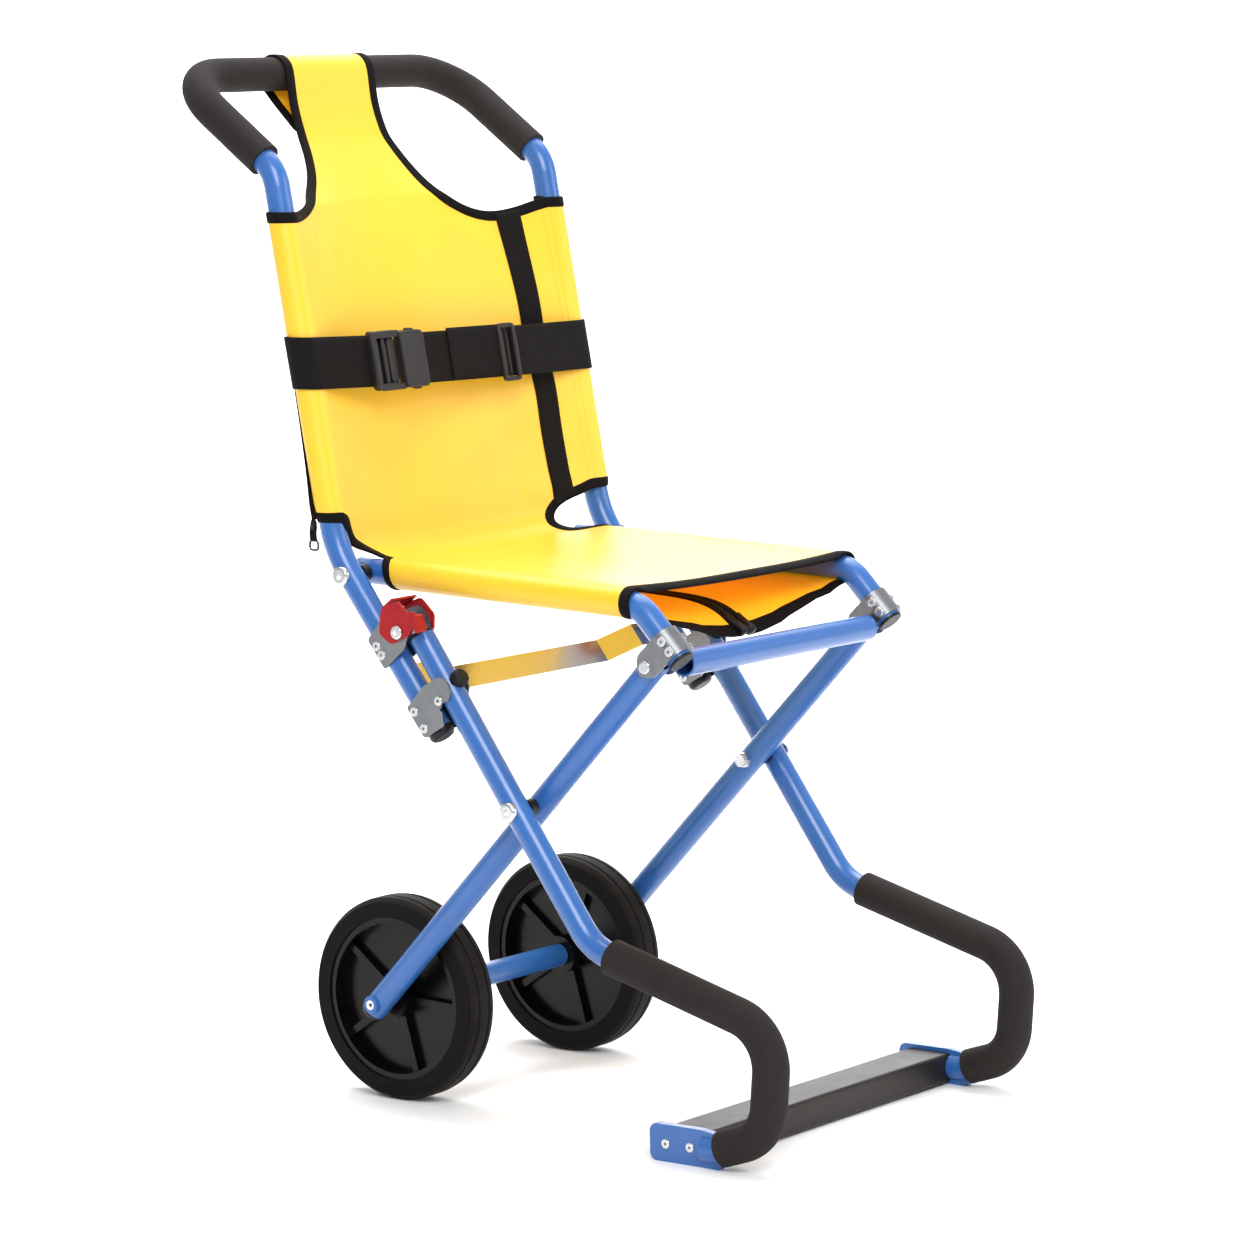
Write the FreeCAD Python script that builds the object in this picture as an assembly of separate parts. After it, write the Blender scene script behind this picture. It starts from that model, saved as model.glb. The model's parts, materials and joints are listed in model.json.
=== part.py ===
"""Folding stair chair: a carry chair with a sling seat, two rear wheels and two ground loops.

Units are millimetres. The origin is on the floor, midway between the two sides.
+Z is up, +X is to one side and the chair faces -Y. A place in a side plane is
written as (f, z): f is the distance forward and z is the height.
"""
import FreeCAD, Part
import math
import os
from FreeCAD import Vector

# ---------------------------------------------------------------- driving dimensions
TUBE_R = 12.5                 # every frame tube is 25 mm across
TUBE_WALL = 1.8
OUTER_X = 205.0               # side plane of the back frame and the front legs
INNER_X = 170.0               # side plane of the seat tubes and the wheel legs
RUN = 0.1                     # running clearance of a pivot
GAP = 0.3                     # least gap between curved faces
FRONT_SHIFT = -18.49          # from f = 0 to the middle of the footprint, along Y

BACK_PIVOT = (-157.0, 520.5)      # back frame on seat tube
SEAT_PIVOT = (176.8, 451.9)       # seat bracket on wheel leg
CROSS_PIVOT = (40.5, 310.7)       # wheel leg on front leg
AXLE = (-162.0, 100.0)
PIN_R = 4.0

BACK_BEND = (-173.2, 542.6)       # where the upper run meets the lower run
HANDLE_BEND = (-239.5, 903.0)
HANDLE_BAR = (-362.0, 992.5)
LOWER_REF = (-84.3, 424.7)        # reference point on the lower run of the back frame
LOWER_END = 56.0                  # the lower run stops this far past the reference
GRIP_R = 16.8                     # foam grip on the handle
GRIP_START = 16.0

LEG_BEND = (126.0, 190.0)
LOOP_TOP = (330.0, 134.0)
LOOP_LOW = (322.0, 36.0)
LOOP_FLAT = (266.0, 17.4)
LEG_TOP = 191.0                   # from the cross pivot up to the tube's top end
LEG_GRIP_R = 17.2
FLAT_F = (192.0, 272.0)           # flattened foot end, front to back
FLAT_TOP = 35.0
FLAT_HALF = 4.0
BAR_F = (203.0, 252.0)            # foot crossbar
BAR_Z = (2.0, 31.0)
FOOT_RIVET_F = (210.5, 238.0)
FOOT_RIVET_Z = 17.0

SEAT_BEND = (160.0, 508.0)
SEAT_END = (206.5, 459.0)
SEAT_REAR = 14.0                  # seat tube behind the back pivot

WHEEL_R = 100.0
WHEEL_X = 133.0
WHEEL_WIDTH = 38.0
RIM_R = 80.0
AXLE_R = 6.0

PLATE = 2.0                       # sheet steel brackets
CLOTH = 2.0                       # coated fabric
BELT_WIDTH = 50.0
COVER_Z = (570.0, 862.0)
BELT_Z = 717.0
NECK_HALF = 66.0                  # half width of the neck at the handle bar


# ---------------------------------------------------------------- small helpers
def spot(x, place):
    """Point at side position x and place (f, z)."""
    return Vector(x, FRONT_SHIFT - place[0], place[1])


def unit(start, end):
    length = math.hypot(end[0] - start[0], end[1] - start[1])
    return ((end[0] - start[0]) / length, (end[1] - start[1]) / length)


def along(start, direction, distance):
    return (start[0] + direction[0] * distance, start[1] + direction[1] * distance)


def square(direction):
    """Direction turned a quarter turn towards the front and top of a falling run."""
    return (-direction[1], direction[0])


def local(origin, direction, s, n):
    """Place at s along a run and n in front of it."""
    return along(along(origin, direction, s), square(direction), n)


def mirrored(shape):
    return shape.mirror(Vector(0, 0, 0), Vector(1, 0, 0))


def pair(shape):
    """A shape on the -X side together with its mirror image."""
    return Part.makeCompound([shape, mirrored(shape)])


def rounded_wire(points, radii, closed=False):
    """Straight runs joined by tangent arcs; radii has one value for each inner corner."""
    count = len(points)
    corners = range(count) if closed else range(1, count - 1)
    starts, ends, arcs = {}, {}, {}
    for index in corners:
        here = points[index]
        before = (points[index - 1] - here).normalize()
        after = (points[(index + 1) % count] - here).normalize()
        half = before.getAngle(after) / 2
        radius = radii[index if closed else index - 1]
        reach = radius / math.tan(half)
        starts[index] = here + before * reach
        ends[index] = here + after * reach
        bisector = (before + after).normalize()
        middle = here + bisector * (radius / math.sin(half) - radius)
        arcs[index] = Part.Arc(starts[index], middle, ends[index]).toShape()
    edges = []
    for index in range(count if closed else count - 1):
        following = (index + 1) % count
        first = ends.get(index, points[index])
        last = starts.get(following, points[following])
        if (last - first).Length > 1e-6:
            edges.append(Part.LineSegment(first, last).toShape())
        if following in arcs:
            edges.append(arcs[following])
    return Part.Wire(edges)


def sweep(points, radii, radius):
    """Solid round bar along a bent line."""
    path = rounded_wire(points, radii)
    direction = (points[1] - points[0]).normalize()
    circle = Part.Wire([Part.makeCircle(radius, points[0], direction)])
    return path.makePipeShell([circle], True, False)


def hose(points, radii, outer, inner):
    """Round tube along a bent line."""
    return sweep(points, radii, outer).cut(sweep(points, radii, inner))


def pin(x0, x1, place, radius):
    """Round pin across the chair from x0 to x1."""
    return Part.makeCylinder(radius, x1 - x0, spot(x0, place), Vector(1, 0, 0))


def stick(start, end, radius):
    return Part.makeCylinder(radius, (end - start).Length, start, end - start)


def button(start, end, radius, rounding):
    """Round stud from start to end with its far rim rounded."""
    stud = stick(start, end, radius)
    rims = [e for e in stud.Edges if e.isClosed() and (e.Curve.Center - end).Length < 0.001]
    return stud.makeFillet(rounding, rims)


def head(x_face, outward, place, radius, height, rounding):
    """Domed head on a face across the chair; outward is -1 or +1."""
    return button(spot(x_face, place), spot(x_face + outward * height, place), radius, rounding)


def sheet(x0, x1, places, radii):
    """Flat plate between x0 and x1 with a rounded outline given as (f, z) places."""
    outline = rounded_wire([spot(x0, place) for place in places], radii, True)
    return Part.Face(outline).extrude(Vector(x1 - x0, 0, 0))


def slab(corner, x_size, forward_size, z_size):
    """Box from its low-x, rear, low-z corner given as (x, f, z)."""
    x, f, z = corner
    return Part.makeBox(x_size, forward_size, z_size, spot(x, (f + forward_size, z)))


def prism(x0, x1, places):
    """Solid between x0 and x1 with a straight-edged outline given as (f, z) places."""
    wire = Part.makePolygon([spot(x0, p) for p in places + places[:1]])
    return Part.Face(wire).extrude(Vector(x1 - x0, 0, 0))


def hexagon(x0, x1, place, radius):
    """Hexagonal prism across the chair; radius is the distance to a corner."""
    turns = [math.radians(60 * step) for step in range(6)]
    places = [(place[0] + radius * math.cos(a), place[1] + radius * math.sin(a)) for a in turns]
    return prism(x0, x1, places)


def rivet(x_face, place, outward, shank_length):
    """Hollow rivet: a domed ring head on a face, with a shank that goes into the tube."""
    head_r, head_h, shank_r, eye_r = 4.6, 1.6, 2.4, 1.3
    back = sorted((x_face - outward * shank_length, x_face))
    eye = sorted((x_face + outward * (head_h + 1), x_face - outward * 3))
    body = head(x_face, outward, place, head_r, head_h, 0.8)
    body = body.fuse(pin(back[0], back[1], place, shank_r))
    return body.cut(pin(eye[0], eye[1], place, eye_r)).removeSplitter()


# ---------------------------------------------------------------- directions of the runs
LOWER_DIR = unit(BACK_BEND, LOWER_REF)          # down the lower run of the back frame
UPPER_DIR = unit(HANDLE_BEND, BACK_BEND)        # down the upper run
ARM_DIR = unit(HANDLE_BEND, HANDLE_BAR)         # up the handle arm
LEG_DIR = unit((-72.4, 470.4), CROSS_PIVOT)     # down the front leg
WHEEL_DIR = unit(SEAT_PIVOT, CROSS_PIVOT)       # down the wheel leg
SEAT_DIR = unit(BACK_PIVOT, SEAT_BEND)          # forward along the seat tube
NOSE_DIR = unit(SEAT_BEND, SEAT_END)            # down the front end of the seat tube
GRIP_DIR = unit(LEG_BEND, LOOP_TOP)


def lower(s, n):
    """Place on the lower run of the back frame."""
    return local(LOWER_REF, LOWER_DIR, s, n)


def upper(z, n):
    """Place at height z and n in front of the upper run of the back frame."""
    drop = (z - BACK_BEND[1]) / UPPER_DIR[1]
    return local(BACK_BEND, UPPER_DIR, drop, n)


def nose(s, n):
    """Place near the front end of the seat tube."""
    return local(SEAT_END, NOSE_DIR, s, n)


NODES = {}


# ---------------------------------------------------------------- back frame
def back_frame():
    """One tube bent into a tall hoop: lower runs, upper runs, handle arms and handle bar."""
    side = [lower(LOWER_END, 0), BACK_BEND, HANDLE_BEND, HANDLE_BAR]
    points = [spot(-OUTER_X, p) for p in side] + [spot(OUTER_X, p) for p in reversed(side)]
    radii = [110, 40, 58, 58, 40, 110]
    frame = hose(points, radii, TUBE_R, TUBE_R - TUBE_WALL)
    for x in (-OUTER_X, OUTER_X):
        frame = frame.cut(pin(x - 20, x + 20, BACK_PIVOT, PIN_R))
        for s, n in ((-43, -4), (-33, -4), (31, -4), (50, -4)):
            frame = frame.cut(pin(x - 20, x + 20, lower(s, n), 2.4))
    return frame


def handle_grip():
    start = along(HANDLE_BEND, ARM_DIR, GRIP_START)
    points = [spot(-OUTER_X, start), spot(-OUTER_X, HANDLE_BAR)]
    points += [spot(OUTER_X, HANDLE_BAR), spot(OUTER_X, start)]
    return hose(points, [58, 58], GRIP_R, TUBE_R + 0.05)


def back_tube_caps():
    start = spot(-OUTER_X, lower(LOWER_END, 0))
    end = spot(-OUTER_X, lower(LOWER_END + 9, 0))
    cap = button(start, end, TUBE_R + 0.4, 5)
    plug = stick(spot(-OUTER_X, lower(LOWER_END - 3, 0)), start, TUBE_R - TUBE_WALL - 0.05)
    return pair(cap.fuse(plug))


NODES["back_frame"] = back_frame()
NODES["handle_grip"] = handle_grip()
NODES["back_tube_caps"] = back_tube_caps()

# ---------------------------------------------------------------- brackets on the lower run
CHEEK_IN = TUBE_R + 0.5           # cheek's inner face from the tube's centre
CHEEK_OUT = CHEEK_IN + PLATE
LATCH_PIVOT = lower(-38, 28)
UPPER_OUTLINE = [(-20, -10), (-22, 18), (-33, 43), (-55, 45), (-62, 24), (-54, -10)]
UPPER_ROUND = [3, 8, 8, 10, 10, 3]
LOWER_OUTLINE = [(23, -10), (58, -10), (61, 17), (50, 24), (46, 22), (43, 30),
                 (46, 37), (36, 48), (21, 42), (18, 20)]
LOWER_ROUND = [3, 5, 6, 2, 2, 2, 3, 11, 8, 8]


def cheeks(outline, rounds, holes):
    """Two equal plates, one on each side of the tubes, on the -X side of the chair."""
    places = [lower(s, n) for s, n in outline]
    plates = []
    for x0 in (-OUTER_X - CHEEK_OUT, -OUTER_X + CHEEK_IN):
        plate = sheet(x0, x0 + PLATE, places, rounds)
        for s, n, radius in holes:
            plate = plate.cut(pin(x0 - 1, x0 + PLATE + 1, lower(s, n), radius))
        plates.append(plate)
    return Part.makeCompound(plates)


upper_pair = cheeks(UPPER_OUTLINE, UPPER_ROUND, [(-43, -4, 2.4), (-33, -4, 2.4), (-38, 28, 4.0)])
lower_pair = cheeks(LOWER_OUTLINE, LOWER_ROUND, [(31, -4, 2.4), (50, -4, 2.4), (39, 27, 2.4)])
NODES["upper_bracket_left"] = upper_pair
NODES["upper_bracket_right"] = mirrored(upper_pair)
NODES["lower_bracket_left"] = lower_pair
NODES["lower_bracket_right"] = mirrored(lower_pair)


def bracket_rivets():
    """Two rivets through each bracket from each side, and a stop stud in each lower cheek."""
    solids = []
    for s, n in ((-43, -4), (-33, -4), (31, -4), (50, -4)):
        place = lower(s, n)
        solids.append(rivet(-OUTER_X - CHEEK_OUT, place, -1, 13))
        solids.append(rivet(-OUTER_X + CHEEK_OUT, place, 1, 13))
    for side in (-1, 1):
        solids.append(rivet(-OUTER_X + side * CHEEK_OUT, lower(39, 27), side, PLATE))
    return pair(Part.makeCompound(solids))


def latch_bolts():
    """A shouldered bolt through each upper bracket; the lever turns on it."""
    x_low = -OUTER_X - CHEEK_OUT - 3.6
    x_high = -OUTER_X + CHEEK_OUT + 3.6
    shank = pin(x_low, x_high, LATCH_PIVOT, 4.0)
    dome = head(x_low, -1, LATCH_PIVOT, 6.5, 2.6, 1.2)
    dome = dome.cut(hexagon(x_low - 3.6, x_low - 1.0, LATCH_PIVOT, 3.2))
    tail = hexagon(x_high, x_high + 3.5, LATCH_PIVOT, 6.5)
    return pair(shank.fuse(dome).fuse(tail))


NODES["bracket_rivets"] = bracket_rivets()
NODES["latch_bolts"] = latch_bolts()


def latch_lever():
    """U-shaped lever over the upper bracket, with a thumb tab at the front."""
    outline = [(-67, 25), (-50, 8), (-33, 14), (-28, 40), (-40, 50), (-62, 46)]
    rounds = [5, 6, 7, 6, 7, 6]
    places = [lower(s, n) for s, n in outline]
    outer_x = -OUTER_X - CHEEK_OUT - 3.1
    inner_x = -OUTER_X + CHEEK_OUT + 0.5
    lever = sheet(outer_x, outer_x + 2.6, places, rounds)
    lever = lever.fuse(sheet(inner_x, inner_x + 2.6, places, rounds))
    web = [(-67.5, 26), (-67.5, 42), (-65, 42), (-65, 26)]
    lever = lever.fuse(sheet(outer_x + 0.2, inner_x + 2.4, [lower(s, n) for s, n in web], [0.6] * 4))
    arm = [(-46, 40), (-32, 40), (-24, 57), (-34, 62), (-46, 52)]
    lever = lever.fuse(sheet(outer_x, outer_x + 2.6, [lower(s, n) for s, n in arm], [3] * 5))
    tab = [(-38, 56), (-22, 52), (-20, 57), (-36, 63)]
    lever = lever.fuse(sheet(outer_x - 9, outer_x + 2.6, [lower(s, n) for s, n in tab], [2] * 4))
    lever = lever.cut(pin(-OUTER_X - 40, -OUTER_X + 40, LATCH_PIVOT, 4.0 + RUN))
    return lever.removeSplitter()


NODES["latch_lever_left"] = latch_lever()
NODES["latch_lever_right"] = mirrored(latch_lever())


def cross_strip():
    """Flat steel strip between the lower runs, cranked back so that it clears the legs."""
    thick, low_s, high_s = 3.0, -17.0, 8.0
    points = [(-192.3, -2), (-152, -2), (-118, -24), (118, -24), (152, -2), (192.3, -2)]
    corner = spot(0, lower(low_s, 0))
    n_axis = (spot(0, lower(low_s, 1)) - corner).normalize()
    s_axis = (spot(0, lower(high_s, 0)) - corner)
    bar = None
    for (x0, n0), (x1, n1) in zip(points, points[1:]):
        length = math.hypot(x1 - x0, n1 - n0)
        side = Vector((n0 - n1) / length * thick / 2, 0, 0) + n_axis * ((x1 - x0) / length * thick / 2)
        a = corner + Vector(x0, 0, 0) + n_axis * n0
        b = corner + Vector(x1, 0, 0) + n_axis * n1
        outline = Part.makePolygon([a - side, b - side, b + side, a + side, a - side])
        piece = Part.Face(outline).extrude(s_axis)
        bar = piece if bar is None else bar.fuse(piece)
    for x, n in points[1:-1]:
        centre = corner + Vector(x, 0, 0) + n_axis * n
        bar = bar.fuse(Part.makeCylinder(thick / 2, high_s - low_s, centre, s_axis))
    return bar.removeSplitter()


NODES["cross_strip"] = cross_strip()


def pivot_bolts(place, x_plane, inner_face, head_r, head_h):
    """Bolt with a large domed head outside the outer tube; its end takes a nut inside."""
    face = -x_plane - TUBE_R - 0.1
    bolt = head(face, -1, place, head_r, head_h, head_h * 0.7)
    bolt = bolt.fuse(pin(face, inner_face, place, PIN_R))
    return bolt.cut(hexagon(face - head_h - 1, face - head_h * 0.35, place, 3.4))


def pivot_nut(place, x_face):
    """Lock nut inside the inner tube, on the bolt's end."""
    nut = hexagon(x_face, x_face + 6.5, place, 8.0)
    collar = pin(x_face + 6.5, x_face + 9.0, place, 6.0)
    return nut.fuse(collar).cut(pin(x_face - 1, x_face + 10, place, PIN_R))


SPACER_X = (-OUTER_X + TUBE_R + 0.1, -INNER_X - TUBE_R - GAP)
NUT_X = -INNER_X + TUBE_R + GAP


def pivot_spacer(place):
    spacer = pin(SPACER_X[0], SPACER_X[1], place, 8.5)
    return spacer.cut(pin(SPACER_X[0] - 1, SPACER_X[1] + 1, place, PIN_R))


NODES["back_pivot_bolts"] = pair(pivot_bolts(BACK_PIVOT, OUTER_X, NUT_X + 9, 9.5, 4.5))
NODES["back_pivot_nuts"] = pair(pivot_nut(BACK_PIVOT, NUT_X))
NODES["back_pivot_spacers"] = pair(pivot_spacer(BACK_PIVOT))

# ---------------------------------------------------------------- front legs, the fixed body


def front_leg():
    """Straight upper leg, a bend, a ground loop and a flattened foot end."""
    top = along(CROSS_PIVOT, LEG_DIR, -LEG_TOP)
    side = [top, LEG_BEND, LOOP_TOP, LOOP_LOW, LOOP_FLAT, (FLAT_F[0] + 48, 17.5)]
    points = [spot(-OUTER_X, p) for p in side]
    radii = [58, 48, 42, 30]
    leg = hose(points, radii, TUBE_R, TUBE_R - TUBE_WALL)
    low, high = FLAT_F
    outline = [(low, 0), (high, 0), (high, FLAT_TOP - 3), (high - 22, FLAT_TOP), (low, FLAT_TOP)]
    foot = sheet(-OUTER_X - FLAT_HALF, -OUTER_X + FLAT_HALF, outline, [8, 3, 5, 10, 8])
    leg = leg.cut(slab((-OUTER_X - 20, low, -5), 40, 60, 60)).fuse(foot)
    leg = leg.cut(pin(-OUTER_X - 20, -OUTER_X + 20, CROSS_PIVOT, PIN_R))
    for f in FOOT_RIVET_F:
        leg = leg.cut(pin(-OUTER_X - 9, -OUTER_X + 9, (f, FOOT_RIVET_Z), 2.4))
    return leg.removeSplitter()


def leg_grip():
    """Foam grip round the ground loop."""
    start = along(LEG_BEND, GRIP_DIR, 24)
    end = along(LOOP_FLAT, unit(LOOP_LOW, LOOP_FLAT), -7)
    points = [spot(-OUTER_X, p) for p in (start, LOOP_TOP, LOOP_LOW, end)]
    return hose(points, [48, 42], LEG_GRIP_R, TUBE_R + 0.05)


NODES["front_leg_left"] = front_leg()
NODES["front_leg_right"] = mirrored(front_leg())
NODES["leg_grip_left"] = leg_grip()
NODES["leg_grip_right"] = mirrored(leg_grip())


def leg_top_caps():
    top = along(CROSS_PIVOT, LEG_DIR, -LEG_TOP)
    start = spot(-OUTER_X, top)
    cap = button(start, spot(-OUTER_X, along(top, LEG_DIR, -4)), TUBE_R, 2.5)
    plug = stick(start, spot(-OUTER_X, along(top, LEG_DIR, 14)), TUBE_R - TUBE_WALL - 0.05)
    return pair(cap.fuse(plug))


def foot_crossbar():
    """Hollow box section between the foot ends, with a drain hole near each end."""
    x_end = OUTER_X - FLAT_HALF - 0.05
    wall, end_wall = 2.5, 7.0
    f0, f1 = BAR_F
    z0, z1 = BAR_Z
    outer = slab((-x_end, f0, z0), 2 * x_end, f1 - f0, z1 - z0)
    long_edges = [e for e in outer.Edges if abs(e.Vertexes[0].X - e.Vertexes[-1].X) > 100]
    outer = outer.makeFillet(3.5, long_edges)
    corner = (-x_end + end_wall, f0 + wall, z0 + wall)
    inner = slab(corner, 2 * (x_end - end_wall), f1 - f0 - 2 * wall, z1 - z0 - 2 * wall)
    bar = outer.cut(inner)
    for side in (-1, 1):
        drain = spot(side * (x_end - 30), ((f0 + f1) / 2, z0 - 1))
        bar = bar.cut(Part.makeCylinder(3, wall + 2, drain))
        for f in FOOT_RIVET_F:
            bar = bar.cut(pin(side * x_end - 5.7, side * x_end + 5.7, (f, FOOT_RIVET_Z), 2.4))
    return bar


def crossbar_rivets():
    face = -OUTER_X - FLAT_HALF
    solids = [rivet(face, (f, FOOT_RIVET_Z), -1, 2 * FLAT_HALF + 5.5) for f in FOOT_RIVET_F]
    return pair(Part.makeCompound(solids))


def leg_bumpers():
    """Rubber buffer on the front of each leg beside the lower bracket."""
    axis_start = along(CROSS_PIVOT, LEG_DIR, -136)
    direction = square(LEG_DIR)
    seat = spot(-OUTER_X, along(axis_start, direction, TUBE_R - 2.5))
    tip = spot(-OUTER_X, along(axis_start, direction, TUBE_R + 9))
    knob = button(seat, tip, 8.5, 4)
    top = along(CROSS_PIVOT, LEG_DIR, -LEG_TOP)
    leg_bar = stick(spot(-OUTER_X, CROSS_PIVOT), spot(-OUTER_X, top), TUBE_R + 0.02)
    return pair(knob.cut(leg_bar))


NODES["leg_top_caps"] = leg_top_caps()
NODES["foot_crossbar"] = foot_crossbar()
NODES["crossbar_rivets"] = crossbar_rivets()
NODES["leg_bumpers"] = leg_bumpers()
NODES["cross_pivot_bolts"] = pair(pivot_bolts(CROSS_PIVOT, OUTER_X, NUT_X + 9, 9.5, 4.5))
NODES["cross_pivot_nuts"] = pair(pivot_nut(CROSS_PIVOT, NUT_X))
NODES["cross_pivot_spacers"] = pair(pivot_spacer(CROSS_PIVOT))

# ---------------------------------------------------------------- seat frame
SEAT_CHEEK = TUBE_R + 0.4
PIVOT_S, PIVOT_N = -15.2, -26.5       # seat pivot, from the tube's front end
STRAP_S = (-29, -2)
STRAP_RIVET_S = (-20, -8)
STRAP_RIVET_N = 5


def seat_tube():
    rear = along(BACK_PIVOT, SEAT_DIR, -SEAT_REAR)
    points = [spot(-INNER_X, p) for p in (rear, SEAT_BEND, SEAT_END)]
    tube = hose(points, [42], TUBE_R, TUBE_R - TUBE_WALL)
    tube = tube.cut(pin(-INNER_X - 20, -INNER_X + 20, BACK_PIVOT, PIN_R + RUN))
    for s in STRAP_RIVET_S:
        tube = tube.cut(pin(-INNER_X - 20, -INNER_X + 20, nose(s, STRAP_RIVET_N), 2.4))
    return tube


def seat_tube_caps():
    """Black plug in each end of each seat tube."""
    rear = along(BACK_PIVOT, SEAT_DIR, -SEAT_REAR)
    solids = []
    for end, direction in ((SEAT_END, NOSE_DIR), (rear, (-SEAT_DIR[0], -SEAT_DIR[1]))):
        start = spot(-INNER_X, end)
        tip = spot(-INNER_X, along(end, direction, 3))
        cap = button(start, tip, TUBE_R, 1.5)
        plug = stick(start, spot(-INNER_X, along(end, direction, -5)), TUBE_R - TUBE_WALL - 0.05)
        solids.append(cap.fuse(plug))
    return pair(Part.makeCompound(solids))


def seat_bracket():
    """Steel strap folded over the seat tube's end, with two ears that hold the wheel leg."""
    s0, s1 = STRAP_S
    ear = [(s1, 1.5), (s0, 1.5), (s0, PIVOT_N), (PIVOT_S, PIVOT_N - 13.5), (s1, PIVOT_N)]
    places = [nose(s, n) for s, n in ear]
    rounds = [0.5, 0.5, 11, 9, 11]
    centre = spot(-INNER_X, nose(s0, 0))
    axis = spot(-INNER_X, nose(s1, 0)) - centre
    strap = Part.makeCylinder(SEAT_CHEEK + PLATE, axis.Length, centre, axis)
    strap = strap.cut(Part.makeCylinder(TUBE_R + 0.1, axis.Length, centre, axis))
    rear_half = [nose(s, n) for s, n in ((-60, -40), (30, -40), (30, 0), (-60, 0))]
    strap = strap.cut(prism(-INNER_X - 30, -INNER_X + 30, rear_half))
    for x0 in (-INNER_X - SEAT_CHEEK - PLATE, -INNER_X + SEAT_CHEEK):
        strap = strap.fuse(sheet(x0, x0 + PLATE, places, rounds))
    strap = strap.cut(pin(-INNER_X - 30, -INNER_X + 30, SEAT_PIVOT, PIN_R))
    for s in STRAP_RIVET_S:
        strap = strap.cut(pin(-INNER_X - 30, -INNER_X + 30, nose(s, STRAP_RIVET_N), 2.4))
    return strap.removeSplitter()


def seat_bracket_rivets():
    solids = []
    for s in STRAP_RIVET_S:
        place = nose(s, STRAP_RIVET_N)
        solids.append(rivet(-INNER_X - SEAT_CHEEK - PLATE, place, -1, 11))
        solids.append(rivet(-INNER_X + SEAT_CHEEK + PLATE, place, 1, 11))
    return pair(Part.makeCompound(solids))


def seat_leg_pins():
    """Headed pin through the bracket's two ears and the wheel leg's top."""
    x0 = -INNER_X - SEAT_CHEEK - PLATE
    x1 = -INNER_X + SEAT_CHEEK + PLATE
    body = pin(x0, x1, SEAT_PIVOT, PIN_R)
    for face, outward in ((x0, -1), (x1, 1)):
        body = body.fuse(head(face, outward, SEAT_PIVOT, 6.2, 2.4, 1.6))
    return pair(body)


def seat_cross_tube():
    """Front cross tube between the inner ears of the seat brackets."""
    half = INNER_X - SEAT_CHEEK - PLATE - 6.5
    tube = pin(-half, half, nose(-4.2, -13.2), TUBE_R)
    return tube.cut(pin(-half, half, nose(-4.2, -13.2), TUBE_R - TUBE_WALL))


NODES["seat_tube_left"] = seat_tube()
NODES["seat_tube_right"] = mirrored(seat_tube())
NODES["seat_tube_caps"] = seat_tube_caps()
NODES["seat_bracket_left"] = seat_bracket()
NODES["seat_bracket_right"] = mirrored(seat_bracket())
NODES["seat_bracket_rivets"] = seat_bracket_rivets()
NODES["seat_leg_pins"] = seat_leg_pins()
NODES["seat_cross_tube"] = seat_cross_tube()

# ---------------------------------------------------------------- wheel legs and wheels


def wheel_leg():
    """Straight tube from the seat bracket to the axle, rounded at its top."""
    top = along(SEAT_PIVOT, WHEEL_DIR, -13)
    low = along(AXLE, WHEEL_DIR, 10)
    tube = hose([spot(-INNER_X, top), spot(-INNER_X, low)], [], TUBE_R, TUBE_R - TUBE_WALL)
    reach = math.hypot(low[0] - SEAT_PIVOT[0], low[1] - SEAT_PIVOT[1])
    room = pin(-INNER_X - 20, -INNER_X + 20, SEAT_PIVOT, TUBE_R)
    below = along(SEAT_PIVOT, WHEEL_DIR, reach)
    room = room.fuse(stick(spot(-INNER_X, SEAT_PIVOT), spot(-INNER_X, below), 30))
    tube = tube.common(room)
    for place, radius in ((SEAT_PIVOT, PIN_R + RUN), (CROSS_PIVOT, PIN_R + RUN), (AXLE, AXLE_R)):
        tube = tube.cut(pin(-INNER_X - 20, -INNER_X + 20, place, radius))
    return tube


def wheel_leg_plugs():
    low = along(AXLE, WHEEL_DIR, 10)
    start = spot(-INNER_X, low)
    return pair(button(start, spot(-INNER_X, along(low, WHEEL_DIR, 6)), TUBE_R, 5))


AXLE_END = INNER_X + TUBE_R + 1.0


def axle_rod():
    return pin(-AXLE_END, AXLE_END, AXLE, AXLE_R)


def axle_caps():
    """Eyelet collar on each end of the axle rod."""
    face = -AXLE_END
    collar = pin(face, face + 3, AXLE, 9).cut(pin(face, face + 3, AXLE, AXLE_R))
    leg_bar = stick(spot(-INNER_X, CROSS_PIVOT), spot(-INNER_X, along(AXLE, WHEEL_DIR, 20)), TUBE_R)
    dome = head(face, -1, AXLE, 8, 2, 1.2).cut(pin(face - 3, face - 0.8, AXLE, 2.6))
    return pair(collar.fuse(dome).cut(leg_bar))


HUB_HALF = WHEEL_WIDTH / 2 + 2.5


def axle_tube():
    """Spacer tube on the axle between the two wheels."""
    half = WHEEL_X - HUB_HALF - 1.0
    return pin(-half, half, AXLE, 11.5).cut(pin(-half, half, AXLE, AXLE_R + 0.05))


def ring(x_low, x_high, outer, inner):
    return pin(x_low, x_high, AXLE, outer).cut(pin(x_low - 1, x_high + 1, AXLE, inner))


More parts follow.
